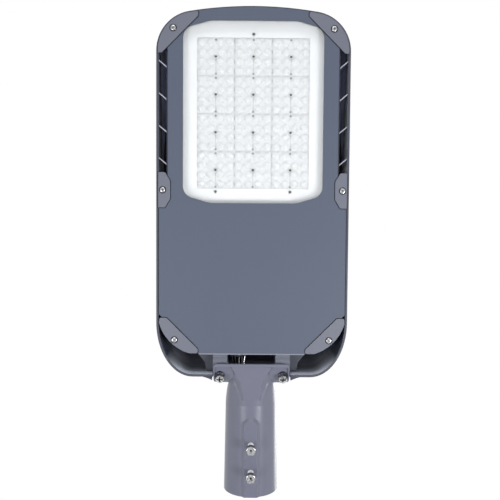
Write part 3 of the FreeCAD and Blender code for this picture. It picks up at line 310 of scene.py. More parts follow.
def lug_painted_light(coat, x, y, z):
    """Painted light: the round faces of the lugs are made lighter than the housing round them."""
    return between(abs(x), *LUG_SPAN) * (y > LUG_START_Y) * (z < LUG_TOP_Z)


def rib_edge_highlight(coat, x, y, z):
    """Painted highlight along the lower edges of the slanted ribs."""
    lowest = abs(z - RIB_EDGE_Z) < 0.5 * MM
    return (abs(x) > SLOT_SPAN[0]) * lowest * (abs(y - SLOT_MIDDLE_Y) < SLOT_HALF_Y)


def slot_painted_light(coat, x, y, z):
    """Painted light on the inner faces of the side slots, but not on the outer skin beside them."""
    face = coat.facing()
    inner = (face[2] < 0.3) * (x * face[0] < 0.0).most(abs(face[1]) > 0.4)
    in_slot = between(abs(x), *SLOT_SPAN) * between(z, *SLOT_HEIGHTS)
    return inner * in_slot * (abs(y - SLOT_MIDDLE_Y) < SLOT_HALF_Y)


# The housing's hood, slots, lug faces and rib edges carry painted light and painted highlight; its board
# seat is bare metal.
paint(nodes["upper_housing"], powder_coat("housing_powder", HOUSING_TONE, HOUSING_DEEP, 0.5, CAST_EDGE, (
    (board_seat, BARE_METAL), (hood_painted_light, HOOD_LIT_TONE), (lug_painted_light, LUG_LIT_TONE), (slot_painted_light, SLOT_LIT_TONE),
    (rib_edge_highlight, RIB_HIGHLIGHT_TONE))))

# Lower cover: one flat die-cast plate in the same powder paint, a shade bluer and smoother. It
# carries the window, closes the gear space and is held at its edge by the six trim plates.
COVER_TONE = (0.082, 0.106, 0.150)
COVER_DEEP = (0.079, 0.093, 0.142)
COVER_END_Y = -193.8 * MM
LIP_WIDTH = 1.4 * MM
GROOVE_Z = -32.5 * MM
LIP_HIGHLIGHT_TONE = (0.22, 0.23, 0.28)
JOINT_SHADE_TONE = (0.028, 0.031, 0.042)
TRIM_EDGE = 1.0 * MM
EDGE_ANGLE = math.radians(38)
FLAT_ANGLE = math.radians(0.6)
MERGE = 0.004 * MM
COVER_FACE = -0.93


def twin(name, source):
    """A copy of a piece, with a mesh of its own."""
    copy = bpy.data.objects.new(name, source.data.copy())
    bpy.context.scene.collection.objects.link(copy)
    return copy


def eased(node, name, width, segments=2):
    """A merged copy of a CAD node with its sharp edges rounded, in the node's place."""
    piece = twin(name, nodes[node])
    only(piece)
    bpy.ops.object.mode_set(mode="EDIT")
    bpy.ops.mesh.select_all(action="SELECT")
    bpy.ops.mesh.remove_doubles(threshold=MERGE)
    bpy.ops.mesh.dissolve_limited(angle_limit=FLAT_ANGLE)
    bpy.ops.object.mode_set(mode="OBJECT")
    bpy.ops.object.modifier_add(type="BEVEL")
    bevel = piece.modifiers[-1]
    bevel.width = width
    bevel.segments = segments
    bevel.angle_limit = EDGE_ANGLE
    bpy.ops.object.modifier_apply(modifier=bevel.name)
    bpy.ops.object.shade_smooth_by_angle(angle=EDGE_ANGLE)
    bpy.ops.object.modifier_add(type="WEIGHTED_NORMAL")
    evened = piece.modifiers[-1]
    evened.keep_sharp = True
    evened.weight = 100
    bpy.ops.object.modifier_apply(modifier=evened.name)
    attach(piece, "adapter" if node == "spigot_adapter" else "head")
    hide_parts(node)
    return piece


def joint(coat, x, y, z):
    """Painted shade on the edges that turn into a joint."""
    return (coat.facing()[2] > COVER_FACE) * 0.85


def groove(coat, x, y, z):
    """Painted shade in the groove that runs round each trim plate."""
    return (z > GROOVE_Z) * 0.92


def rear_lip_highlight(coat, x, y, z):
    """Painted highlight along the cover's rear edge."""
    return y > COVER_END_Y - LIP_WIDTH


cover = eased("lower_cover", "lower_cover_cast", TRIM_EDGE)
# The cover carries painted shade at its joints and groove, and a painted highlight along its rear edge.
paint(cover, powder_coat("cover_powder", COVER_TONE, COVER_DEEP, 0.56, None, (
    (joint, JOINT_SHADE_TONE), (groove, JOINT_SHADE_TONE), (rear_lip_highlight, LIP_HIGHLIGHT_TONE))))

# Trim plates: six small cast plates in a lighter grey, each held by one screw. They clamp the
# cover to the housing, and a thin open joint runs along their inner edges.
PLATE_TONE = (0.152, 0.162, 0.208)
PLATE_DEEP = (0.134, 0.143, 0.185)
PLATE_EDGE = 1.5 * MM
PLATE_FACE = -0.97
SUNK_RING_R = 4.9 * MM
PLATES = [f"{row}_plate_{side}" for row in ("front", "side", "rear") for side in ("left", "right")]
PLATE_SCREWS = (
    (105.6, -625.0), (-105.6, -625.0), (119.2, -413.7), (-119.2, -413.7), (103.5, -213.4), (-103.5, -213.4),
)


def near(x, y, places, reach):
    """Where a spot lies within reach of one of some places, mirrored left and right."""
    shares = []
    for across, along in places:
        off_x = abs(x) - across * MM
        off_y = y - along * MM
        shares.append(off_x * off_x + off_y * off_y < reach * reach)
    return sum(shares)


def plate_joint(coat, x, y, z):
    """The whole eased edge of a trim plate lies in the shade of its joint."""
    return (coat.facing("True Normal")[2] > PLATE_FACE) * 0.9


def sunk_ring(coat, x, y, z):
    """The shadow of the ring in which each plate screw is sunk."""
    return near(x, y, PLATE_SCREWS[::2], SUNK_RING_R)


plate_powder = powder_coat("plate_powder", PLATE_TONE, PLATE_DEEP, 0.46, None, (
    (plate_joint, JOINT_SHADE_TONE), (sunk_ring, JOINT_SHADE_TONE)))
for plate_node in PLATES:
    plate = eased(plate_node, f"{plate_node}_cast", PLATE_EDGE)
    paint(plate, plate_powder)

# Plate screws: six stainless pan-head screws with a cross recess, one through each trim plate
# into a boss of the housing, sunk a little below the plate's face.
SCREW_SIDES = 28
TINY = 0.01 * MM
STAIN_TONE = (0.16, 0.16, 0.17)
STEEL_SHADE_TONE = (0.035, 0.035, 0.04)
TOOL_MARK = 0.03 * MM
PLATE_SCREW_Z = -32.4
PLATE_HEAD_R = 3.35 * MM
PLATE_RECESS_R = 2.3 * MM
PLATE_RECESS_Z = -34.7 * MM


def pick_faces(piece, test):
    """Selects the faces whose middle and normal pass a test, in edit mode."""
    bpy.ops.mesh.select_mode(type="FACE")
    bpy.ops.mesh.select_all(action="DESELECT")
    shell = bmesh.from_edit_mesh(piece.data)
    for face in shell.faces:
        face.select_set(bool(test(face.calc_center_median(), face.normal)))
    bmesh.update_edit_mesh(piece.data)


def pick_edges(piece, test):
    """Selects the edges whose two ends pass a test, in edit mode."""
    bpy.ops.mesh.select_mode(type="EDGE")
    bpy.ops.mesh.select_all(action="DESELECT")
    shell = bmesh.from_edit_mesh(piece.data)
    for edge in shell.edges:
        edge.select_set(bool(test(edge.verts[0].co, edge.verts[1].co)))
    bmesh.update_edit_mesh(piece.data)


def trim(piece, tool, operation):
    """Cuts, joins or crops a piece with a tool, which is then thrown away."""
    only(piece)
    bpy.ops.object.modifier_add(type="BOOLEAN")
    change = piece.modifiers[-1]
    change.operation = operation
    change.object = tool
    change.solver = "MANIFOLD"
    bpy.ops.object.modifier_apply(modifier=change.name)
    bpy.data.objects.remove(tool)


def settle(piece):
    """Puts a new piece's place, turn and size into its mesh."""
    only(piece)
    bpy.ops.object.transform_apply(location=True, rotation=True, scale=True)


def bar(name, sides, radius, length, z, y=0.0):
    """A new bar of some sides along the Z axis, with its middle at height z."""
    bpy.ops.mesh.primitive_cylinder_add(vertices=sides, radius=radius, depth=length, location=(0, y, z))
    piece = bpy.context.object
    piece.name = name
    settle(piece)
    return piece


def ease(piece, test, width, segments=1):
    """Bevels the edges of the active piece whose two ends pass a test."""
    bpy.ops.object.mode_set(mode="EDIT")
    pick_edges(piece, test)
    bpy.ops.mesh.bevel(offset=width, segments=segments, affect="EDGES")
    bpy.ops.object.mode_set(mode="OBJECT")


def lies_flat(a, b):
    """Whether an edge keeps one height."""
    return abs(a.z - b.z) < TINY


def cross_recess(piece, z, reach, width, depth):
    """Presses a tapered cross into the face that looks down at height z."""
    for turn in (0.0, math.pi / 2):
        bpy.ops.mesh.primitive_cube_add(size=1.0, location=(0, 0, z), rotation=(0, 0, turn))
        arm = bpy.context.object
        arm.scale = (2 * reach, width, 2 * depth)
        settle(arm)
        bpy.ops.object.mode_set(mode="EDIT")
        pick_faces(arm, lambda middle, normal: normal.z > 0.9)
        bpy.ops.transform.resize(value=(0.62, 0.62, 1.0), center_override=(0, 0, z))
        bpy.ops.object.mode_set(mode="OBJECT")
        trim(piece, arm, "DIFFERENCE")


def pan_screw(name, head_r, head, shank_r, shank):
    """A pan-head screw: head below z = 0, shank above, made from one turned blank."""
    screw = bar(name, SCREW_SIDES, head_r, head, -head / 2)
    bpy.ops.object.mode_set(mode="EDIT")
    pick_faces(screw, lambda middle, normal: normal.z > 0.9)
    bpy.ops.mesh.inset(thickness=head_r - shank_r)
    bpy.ops.mesh.extrude_region_move(TRANSFORM_OT_translate={"value": (0, 0, shank)})
    pick_edges(screw, lambda a, b: min(a.z, b.z) > shank - TINY)
    bpy.ops.mesh.bevel(offset=0.35 * shank_r, segments=1, affect="EDGES")
    pick_edges(screw, lambda a, b: max(a.z, b.z) < TINY - head)
    bpy.ops.mesh.bevel(offset=0.6 * head, segments=4, affect="EDGES")
    bpy.ops.object.mode_set(mode="OBJECT")
    cross_recess(screw, -head, 0.56 * head_r, 0.2 * head_r, 0.5 * head)
    return screw


def spread(blank, name, moves):
    """Copies of a blank, each set by its own move and all joined; the blank is thrown away."""
    copies = []
    for move in moves:
        copy = twin(name, blank)
        copy.data.transform(move)
        copies.append(copy)
    bpy.data.objects.remove(blank)
    only(copies[0])
    for copy in copies[1:]:
        copy.select_set(True)
    if len(copies) > 1:
        bpy.ops.object.join()
    return copies[0]


def gang(blank, name, moves, finish, body, node):
    """Spreads a blank and finishes what comes of it as one node's piece."""
    piece = spread(blank, name, moves)
    only(piece)
    bpy.ops.object.shade_smooth_by_angle(angle=EDGE_ANGLE)
    paint(piece, finish)
    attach(piece, body)
    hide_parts(node)


def steel(name, tone, roughness, streak, shaded=None, stained=0.0):
    """Bare turned steel: fine streaks round the tool's path and a few dull patches.

    shaded gives the share of painted shade at a place, and stained how far oily spots go.
    """
    metal = Graph(bpy.data.materials.new(name))
    place = metal.place()
    lines = metal.noise(streak, 3.0, 0.6, place)
    patches = metal.noise(260.0, 2.0, 0.5, place)
    base = metal.mix(patches, [0.82 * part for part in tone], tone)
    if stained:
        spots = ((metal.noise(430.0, 2.0, 0.5, place) - 0.5) * 9.0 + 0.4).clipped()
        base = metal.mix(spots * stained, base, STAIN_TONE)
    if shaded:
        base = metal.mix(shaded(*metal.axes(place)), base, STEEL_SHADE_TONE)
    normal = metal.bump(lines, TOOL_MARK, 0.5)
    return metal.surface(base, Metallic=1.0, Roughness=roughness + (lines - 0.5) * 0.16, Normal=normal)


def at(x, y, z):
    """A move to a place in millimetres."""
    return Matrix.Translation((x * MM, y * MM, z * MM))


def plate_screw_shade(x, y, z):
    """Painted shade in the cross recess and round the rim of each plate screw."""
    rim = 1.0 - near(x, y, PLATE_SCREWS[::2], PLATE_HEAD_R)
    recess = near(x, y, PLATE_SCREWS[::2], PLATE_RECESS_R) * (z > PLATE_RECESS_Z)
    return recess.most(rim * 0.6)


plate_steel = steel("plate_screw_steel", (0.86, 0.87, 0.89), 0.22, 1800.0, plate_screw_shade, 0.35)
gang(
    pan_screw("plate_screw_blank", 3.9 * MM, 2.4 * MM, 2.0 * MM, 14.0 * MM), "plate_screws_steel",
    [at(x, y, PLATE_SCREW_Z) for x, y in PLATE_SCREWS], plate_steel, "head", "plate_screws",
)

# Window: a pane of toughened glass laid into the cover from inside, bedded on a clear silicone
# gasket. It is polished, with the slight green of plain float glass. The housing's own seal is of
# a greyer silicone.
glass = Graph(bpy.data.materials.new("float_glass"))
facing = glass.node("ShaderNodeLayerWeight", None, {"Blend": 0.25}, "Facing")
ripple = glass.bump(glass.noise(40.0), 0.02 * MM, 0.3)
paint(nodes["window_glass"], glass.surface(
    glass.mix(facing, (0.93, 0.97, 0.96), (0.75, 0.90, 0.86)),
    Roughness=0.03, Alpha=facing * 0.45 + 0.05, Normal=ripple))


def silicone(name, deep, tone, roughness):
    """Soft moulded rubber: slow clouds of tone and a fine matt grain."""
    rubber = Graph(bpy.data.materials.new(name))
    return rubber.surface(
        rubber.mix(rubber.noise(120.0, 3.0), deep, tone),
        Roughness=roughness, Normal=rubber.bump(rubber.noise(900.0), 0.05 * MM, 0.4))


paint(nodes["window_gasket"], silicone(
    "silicone_rubber", (0.66, 0.67, 0.68), (0.74, 0.75, 0.76), 0.62))
paint(nodes["housing_gasket"], silicone(
    "housing_seal_rubber", (0.50, 0.51, 0.52), (0.58, 0.59, 0.60), 0.7))

# Reflector: a thin white-coated sheet round the lens field, pressed from one blank, held by
# three small screws and lying on the lens modules' rims.
REFLECTOR_SCREWS = ((0.0, -620.0), (-50.0, -412.0), (50.0, -412.0))
REFLECTOR_SCREW_Z = -21.5
REFLECTOR_RECESS_R = 1.75 * MM
APERTURE_HALVES = (78.0 * MM, 102.0 * MM)
APERTURE_SHRINK = (0.9925, 0.9945, 1.0)
enamel = Graph(bpy.data.materials.new("white_enamel"))
reflector = eased("white_reflector", "reflector_sheet", 0.2 * MM, 1)
paint(reflector, enamel.surface(
    enamel.mix(enamel.noise(20.0, 3.0), (0.90, 0.912, 0.935), (0.925, 0.938, 0.955)),
    Roughness=0.5, Normal=enamel.bump(enamel.noise(800.0), 0.04 * MM, 0.4)))


def at_aperture(a, b):
    """Whether an edge is on the rim of the opening round the lens field."""
    half_x, half_y = APERTURE_HALVES
    return all(abs(end.x) < half_x and abs(end.y - FIELD_Y) < half_y for end in (a, b))


bpy.ops.object.mode_set(mode="EDIT")
pick_edges(reflector, at_aperture)
bpy.ops.transform.resize(value=APERTURE_SHRINK, center_override=(0, FIELD_Y, 0))
bpy.ops.object.mode_set(mode="OBJECT")
dull_steel = steel("dull_steel", (0.56, 0.57, 0.58), 0.34, 1500.0)


def reflector_recess(x, y, z):
    """The recess of each small screw, dark with shade."""
    return near(x, y, REFLECTOR_SCREWS[::2], REFLECTOR_RECESS_R)


gang(
    pan_screw("reflector_screw_blank", 2.7 * MM, 1.8 * MM, 1.5 * MM, 6.0 * MM), "reflector_screws_steel",
    [at(x, y, REFLECTOR_SCREW_Z) for x, y in REFLECTOR_SCREWS],
    steel("reflector_screw_steel", (0.80, 0.81, 0.83), 0.3, 1500.0, reflector_recess),
    "head", "reflector_screws",
)

# Lens modules: twelve square mouldings in clear polycarbonate, each with 4 x 4 oval domes, a hollow
# back over the light chips, two moulding dimples and a screw hole in its middle.
MODULE_COLUMNS = (-50.0, 0.0, 50.0)
MODULE_ROWS = (-591.0, -541.0, -491.0, -441.0)
MODULE_Z = -20.5
MODULE_PITCH = 50.0 * MM
MODULE_SIDE = 49.5 * MM
MODULE_CORNER = 1.2 * MM
MODULE_EASE = 0.35 * MM
MODULE_RIM = 1.5 * MM
BASE = 2.0 * MM
HOLLOW = 0.9 * MM
LENS_PITCH = 12.5 * MM
DOME = (5.6 * MM, 5.04 * MM, 4.6 * MM)
DOME_TOP = 0.4 * MM
PIN_AT = 22.3 * MM
PIN_R = 1.0 * MM
PIN_SHADE_R = 1.55 * MM
DIMPLE = 1.2 * MM
SPRUE_HALF = 0.5 * MM
SCREW_HOLE_R = 1.7 * MM
LENS_RECESS_R = 1.6 * MM
bpy.ops.mesh.primitive_cube_add(size=1.0, location=(0, 0, BASE / 2))
module = bpy.context.object
module.name = "lens_module_blank"
module.scale = (MODULE_SIDE, MODULE_SIDE, BASE)
settle(module)
bpy.ops.object.mode_set(mode="EDIT")
pick_edges(module, lambda a, b: abs(a.z - b.z) > TINY)
bpy.ops.mesh.bevel(offset=MODULE_CORNER, segments=3, affect="EDGES")
pick_edges(module, lambda a, b: max(a.z, b.z) < TINY)
bpy.ops.mesh.bevel(offset=MODULE_EASE, segments=2, affect="EDGES")
pick_faces(module, lambda middle, normal: normal.z > 0.9)
bpy.ops.mesh.inset(thickness=MODULE_RIM)
bpy.ops.mesh.extrude_region_move(TRANSFORM_OT_translate={"value": (0, 0, -HOLLOW)})
bpy.ops.mesh.select_all(action="SELECT")
bpy.ops.mesh.normals_make_consistent(inside=False)
bpy.ops.object.mode_set(mode="OBJECT")
for hole_y, hole_r, hole_length in (
        (0.0, SCREW_HOLE_R, 6.0 * MM), (PIN_AT, PIN_R, DIMPLE), (-PIN_AT, PIN_R, DIMPLE)):
    trim(module, bar("drill", 20, hole_r, hole_length, 0.0, hole_y), "DIFFERENCE")
bpy.ops.mesh.primitive_uv_sphere_add(segments=14, ring_count=10, radius=1.0, location=(0, 0, 0))
dome = bpy.context.object
dome.scale = DOME
settle(dome)
bpy.ops.object.mode_set(mode="EDIT")
bpy.ops.mesh.select_all(action="SELECT")
bpy.ops.mesh.bisect(plane_co=(0, 0, DOME_TOP), plane_no=(0, 0, 1), clear_outer=True, use_fill=True)
bpy.ops.mesh.select_all(action="SELECT")
bpy.ops.mesh.normals_make_consistent(inside=False)
bpy.ops.object.mode_set(mode="OBJECT")
steps = [(step - 1.5) * LENS_PITCH for step in range(4)]
domes = spread(dome, "dome", [Matrix.Translation((x, y, 0)) for y in steps for x in steps])
trim(module, domes, "UNION")
only(module)
bpy.ops.object.shade_smooth_by_angle(angle=math.radians(30))

clear = Graph(bpy.data.materials.new("clear_polycarbonate"))
across, along, _ = clear.axes()
from_middle_x = abs((across / MODULE_PITCH + 0.5) % 1.0 - 0.5) * MODULE_PITCH
row_phase = (0.5 - MODULE_ROWS[0] * MM / MODULE_PITCH) % 1.0
past_middle = ((along / MODULE_PITCH + row_phase) % 1.0 - 0.5) * MODULE_PITCH
from_middle_y = abs(past_middle)
from_pin = (from_middle_x * from_middle_x + (from_middle_y - PIN_AT) ** 2.0) ** 0.5
# The dark discs round the two dimples are painted shade.
pin = from_pin < PIN_SHADE_R
sprue = (from_middle_x < SPRUE_HALF) * (past_middle > 0.0) * (past_middle < PIN_AT) * 0.3
haze = clear.mix(clear.noise(60.0, 2.0), (0.86, 0.88, 0.915), (0.93, 0.945, 0.97))
# Where the dome sides turn steep the tone goes to white: painted light.
steep = clear.facing()[2]
haze = clear.mix(((steep + 0.9) * 3.0).clipped(), haze, (1.0, 1.0, 1.0))
marked = clear.mix((pin * 0.72).most(sprue), haze, (0.12, 0.13, 0.15))
rim = clear.node("ShaderNodeLayerWeight", None, {"Blend": 0.35}, "Facing")
paint(module, clear.surface(
    marked, Roughness=0.07, IOR=1.58, Alpha=(rim * 0.12 + 0.86).most(pin).most(sprue),
    Normal=clear.bump(clear.noise(500.0), 0.03 * MM, 0.3)))
for column, module_x in enumerate(MODULE_COLUMNS, 1):
    for row, module_y in enumerate(MODULE_ROWS, 1):
        lens = twin(f"lens_plate_{column}_{row}", module)
        lens.data.transform(at(module_x, module_y, MODULE_Z))
        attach(lens, "head")
        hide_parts(f"lens_module_{column}_{row}")
bpy.data.objects.remove(module)


def lens_recess(x, y, z):
    """The recess of each lens screw, dark with shade."""
    places = [(column, row) for column in MODULE_COLUMNS[1:] for row in MODULE_ROWS]
    return near(x, y, places, LENS_RECESS_R)


gang(
    pan_screw("lens_screw_blank", 2.9 * MM, 2.0 * MM, 1.5 * MM, 7.2 * MM), "lens_screws_steel",
    [at(x, y, MODULE_Z) for x in MODULE_COLUMNS for y in MODULE_ROWS],
    steel("lens_screw_steel", (0.80, 0.81, 0.83), 0.3, 1500.0, lens_recess),
    "head", "lens_screws",
)

# Light boards: three aluminium-core boards under white solder mask, with faint tracks under the
# mask, and 64 light chips each, a yellow phosphor disc in a white package.
PHOSPHOR_R = 1.45 * MM
mask = Graph(bpy.data.materials.new("white_solder_mask"))
tracks = mask.node(
    "ShaderNodeTexBrick", {"offset": 0.5},
    {"Vector": mask.place(), "Scale": 80.0, "Mortar Size": 0.04, "Color1": (0.86, 0.87, 0.88, 1.0),
     "Color2": (0.83, 0.84, 0.86, 1.0), "Mortar": (0.74, 0.75, 0.78, 1.0)})
board_mask = mask.surface(tracks, Roughness=0.4, Normal=mask.bump(mask.noise(600.0), 0.03 * MM, 0.3))
chip = Graph(bpy.data.materials.new("light_chip"))
chip_x, chip_y, _ = chip.axes()
chip_phase = MODULE_ROWS[0] * MM / LENS_PITCH % 1.0
off_x = (chip_x / LENS_PITCH % 1.0 - 0.5) * LENS_PITCH
off_y = ((chip_y / LENS_PITCH - chip_phase) % 1.0 - 0.5) * LENS_PITCH
disc = (off_x * off_x + off_y * off_y) ** 0.5 < PHOSPHOR_R
phosphor = chip.mix(chip.noise(900.0), (0.86, 0.76, 0.42), (0.90, 0.82, 0.50))
chip_finish = chip.surface(
    chip.mix(disc, (0.85, 0.85, 0.82), phosphor), Roughness=0.35 + disc * 0.2)
for place_name in ("left", "centre", "right"):
    paint(nodes[f"led_board_{place_name}"], board_mask)
    paint(nodes[f"led_chips_{place_name}"], chip_finish)

# Gear: behind the bulkhead a galvanised tray carries the driver in its drawn metal case, the
# surge protector, the terminal block and their leads, held by small steel screws.
sheet = Graph(bpy.data.materials.new("galvanised_sheet"))
spangle = sheet.node("ShaderNodeTexVoronoi", None, {"Vector": sheet.place(), "Scale": 130.0}, "Color")
grey = sheet.axes(spangle)[0]
galvanised = sheet.surface(
    sheet.mix(grey, (0.50, 0.52, 0.54), (0.66, 0.68, 0.70)), Metallic=0.9, Roughness=0.32 + grey * 0.22)
case = Graph(bpy.data.materials.new("brushed_case"))
brushed_place = case.node("ShaderNodeMapping", None, {"Vector": case.place(), "Scale": (30.0, 1.0, 1.0)})
brushed = case.noise(60.0, 4.0, 0.6, brushed_place)
case_metal = case.surface(
    case.mix(brushed, (0.58, 0.59, 0.60), (0.70, 0.71, 0.72)), Metallic=0.85,
    Roughness=0.3 + brushed * 0.15, Normal=case.bump(brushed, 0.03 * MM, 0.4))


def plastic(name, tone, deep, roughness):
    """Moulded plastic: spark-eroded grain and a slight unevenness of tone."""
    resin = Graph(bpy.data.materials.new(name))
    grain = resin.noise(1400.0, 2.0)
    return resin.surface(
        resin.mix(resin.noise(50.0, 3.0), deep, tone),
        Roughness=roughness + (grain - 0.5) * 0.15, Normal=resin.bump(grain, 0.04 * MM, 0.6))


GEAR_FINISHES = {
    "gear_tray": galvanised,
    "led_driver": case_metal,
    "surge_protector": plastic("white_case_plastic", (0.72, 0.73, 0.73), (0.66, 0.67, 0.68), 0.4),
    "terminal_block": plastic("cream_terminal_plastic", (0.74, 0.70, 0.58), (0.68, 0.64, 0.52), 0.42),
    "driver_lead": plastic("grey_lead_jacket", (0.10, 0.10, 0.11), (0.07, 0.07, 0.08), 0.5),
    "mains_lead": plastic("black_lead_jacket", (0.045, 0.045, 0.05), (0.03, 0.03, 0.035), 0.5),
    "driver_screws": dull_steel,
    "gear_tray_screws": dull_steel,
}
for gear_node, gear_finish in GEAR_FINISHES.items():
    paint(nodes[gear_node], gear_finish)

# Cable gland: turned from brass and nickel plated, with a fluted clamping cap and a hexagon
# collar, open for the cable, held in the rear wall by a nut inside.
GLAND_AT = (-18.0, -193.2, -3.0)
CAP_RADII = (8.2, 10.5)
CAP_END_Y = -175.2
CAP_LENGTH = 12.2
CAP_Z = -11.9 * MM
CAP_SIDES = 48
FLUTE_SHARE = 0.91
COLLAR = 6.0 * MM
GLAND_FLATS = 22.0 * MM
GLAND_BORE_R = 4.6 * MM
NUT_FLATS = 24.0 * MM
NUT_THICK = 5.0 * MM
NUT_Z = 5.7 * MM
HEX_EASE = 0.6 * MM
THREAD_R = 10.0 * MM
THREAD_LENGTH = 11.4 * MM
THREAD_Z = 5.5 * MM
THREAD_EASE = 0.8 * MM
ALONG_Y = Matrix.Rotation(math.radians(90), 4, "X")


def cone(sides, low_r, high_r, length, z):
    """A new cut-off cone along the Z axis, with its middle at height z."""
    bpy.ops.mesh.primitive_cone_add(
        vertices=sides, radius1=low_r, radius2=high_r, depth=length, location=(0, 0, z))
    piece = bpy.context.object
    settle(piece)
    return piece


def gland_shade_off_crests(x, y, z):
    """Painted shade over the whole gland, apart from the crests of the flutes, which stay bright."""
    off_x = x - GLAND_AT[0] * MM
    off_z = z - GLAND_AT[2] * MM
    slope = (CAP_RADII[1] - CAP_RADII[0]) / CAP_LENGTH
    crest = 0.96 * (CAP_RADII[0] * MM + (CAP_END_Y * MM - y) * slope)
    return 1.0 - (off_x * off_x + off_z * off_z > crest * crest)


def flute_edge(a, b):
    """Whether an edge of the cap runs along it in one of the grooves between the flutes."""
    step = round(math.degrees(math.atan2(a.y, a.x)) * CAP_SIDES / 360.0)
    return abs(a.z - b.z) > MM and step % 4 > 1


plated_brass = steel("nickel_plated_brass", (0.78, 0.79, 0.80), 0.16, 900.0, gland_shade_off_crests)
gland = bar("gland_blank", 6, GLAND_FLATS / math.sqrt(3), COLLAR, -COLLAR / 2)
ease(gland, lies_flat, HEX_EASE, 2)
cap = cone(CAP_SIDES, CAP_RADII[0] * MM, CAP_RADII[1] * MM, CAP_LENGTH * MM, CAP_Z)
bpy.ops.object.mode_set(mode="EDIT")
pick_edges(cap, flute_edge)
bpy.ops.transform.resize(value=(FLUTE_SHARE, FLUTE_SHARE, 1.0), center_override=(0, 0, 0))
bpy.ops.object.mode_set(mode="OBJECT")
trim(gland, cap, "UNION")
thread = bar("gland_thread", 40, THREAD_R, THREAD_LENGTH, THREAD_Z)
ease(thread, lambda a, b: min(a.z, b.z) > THREAD_Z + THREAD_LENGTH / 2 - TINY, THREAD_EASE)
trim(gland, thread, "UNION")
trim(gland, bar("gland_bore", 32, GLAND_BORE_R, 60.0 * MM, 0.0), "DIFFERENCE")
gang(gland, "cable_gland_turned", [at(*GLAND_AT) @ ALONG_Y],
     plated_brass, "head", "cable_gland")

nut = bar("gland_nut_blank", 6, NUT_FLATS / math.sqrt(3), NUT_THICK, NUT_Z)
ease(nut, lies_flat, HEX_EASE, 2)
trim(nut, bar("nut_bore", 40, THREAD_R + 0.05 * MM, 20.0 * MM, NUT_Z), "DIFFERENCE")
gang(nut, "gland_nut_turned", [at(*GLAND_AT) @ ALONG_Y],
     plated_brass, "head", "gland_nut")

# Spigot adapter: a die-cast socket for a 60 mm pole end, its shoulder drawn in to a neck and a
# yoke with two slotted ears, in a lighter grey powder coat that is a little glossier.
ADAPTER_TONE = (0.158, 0.166, 0.222)
ADAPTER_DEEP = (0.143, 0.150, 0.201)
adapter = eased("spigot_adapter", "spigot_adapter_cast", 0.5 * MM)
paint(adapter, powder_coat("adapter_powder", ADAPTER_TONE, ADAPTER_DEEP, 0.32))

# Tilt bolts: two M8 hexagon bolts with a cross recess, chamfered at the crown, each over a flat
# washer and a split spring washer, through the curved slots of the yoke's ears.
TILT = math.radians(26.5)
HINGE = (0.0, -179.0, -2.0)
BOLT_X = 42.4
HEX_R = 12.0 * MM / math.sqrt(3)
HEAD_THICK = 5.3 * MM
HEAD_Z = -37.55 * MM
HEAD_FACE = 34.6 * MM
HEAD_RIM_R = 5.6 * MM
SHANK_R = 4.0 * MM
SHANK_LENGTH = 25.5 * MM
SHANK_Z = -22.75 * MM
SHANK_EASE = 0.8 * MM
CROSS_HALF = 0.75 * MM
CROSS_REACH = 4.4 * MM
CROWN_RADII = (5.4 * MM, 17.4 * MM)
CROWN_HEIGHT = 6.93 * MM
CROWN_Z = -36.735 * MM
WASHER_HOLE_R = 4.2 * MM
WASHER_EASE = 0.25 * MM
SPLIT_Y = -5.2 * MM
SPLIT_SIZE = (0.8 * MM, 5.0 * MM, 6.0 * MM)
BOLT_MOVES = [at(x, HINGE[1], HINGE[2]) @ Matrix.Rotation(TILT, 4, "X") for x in (-BOLT_X, BOLT_X)]


def bolt_head_shade(x, y, z):
    """Painted shade in the cross and on the chamfered rim of each bolt head, seen along its axis."""
    side = abs(x) - BOLT_X * MM
    rise = (y - HINGE[1] * MM) * math.cos(TILT) + (z - HINGE[2] * MM) * math.sin(TILT)
    down = (y - HINGE[1] * MM) * math.sin(TILT) - (z - HINGE[2] * MM) * math.cos(TILT)
    off = side * side + rise * rise
    cross = (abs(side) < CROSS_HALF).most(abs(rise) < CROSS_HALF) * (off < CROSS_REACH ** 2)
    rim = (off > HEAD_RIM_R ** 2) * 0.6
    return cross.most(rim) * (down > HEAD_FACE)


bolt_steel = steel("tilt_bolt_steel", (0.90, 0.91, 0.92), 0.16, 1800.0, bolt_head_shade, 0.7)
# The flat washers take a near-black tone, which is painted shade under the bolt heads.
shaded_washer_steel = steel("tilt_washer_steel", (0.10, 0.10, 0.11), 0.36, 1500.0)
spring_steel = steel("spring_washer_steel", (0.80, 0.81, 0.82), 0.24, 1500.0, None, 0.9)
bolt = bar("tilt_bolt_blank", 6, HEX_R, HEAD_THICK, HEAD_Z)
trim(bolt, cone(48, *CROWN_RADII, CROWN_HEIGHT, CROWN_Z), "INTERSECT")
shank = bar("bolt_shank", 32, SHANK_R, SHANK_LENGTH, SHANK_Z)
ease(shank, lambda a, b: min(a.z, b.z) > SHANK_Z + SHANK_LENGTH / 2 - TINY, SHANK_EASE)
trim(bolt, shank, "UNION")
cross_recess(bolt, HEAD_Z - HEAD_THICK / 2, 4.2 * MM, 2 * CROSS_HALF, 2.2 * MM)
gang(bolt, "tilt_bolts_steel", BOLT_MOVES, bolt_steel, "head", "tilt_bolts")


def ring(name, outer_r, thick, start, split):
    """A turned washer with eased rims, from start to start + thick below; split if sprung."""
    middle_z = -start - thick / 2
    washer = bar(name, 40, outer_r, thick, middle_z)
    ease(washer, lies_flat, WASHER_EASE, 2)
    trim(washer, bar("washer_hole", 32, WASHER_HOLE_R, 10 * MM, -start), "DIFFERENCE")
    if split:
        turn = (0, math.radians(25), 0)
        bpy.ops.mesh.primitive_cube_add(size=1.0, location=(0, SPLIT_Y, middle_z), rotation=turn)
        gap = bpy.context.object
        gap.scale = SPLIT_SIZE
        settle(gap)
        trim(washer, gap, "DIFFERENCE")
    return washer


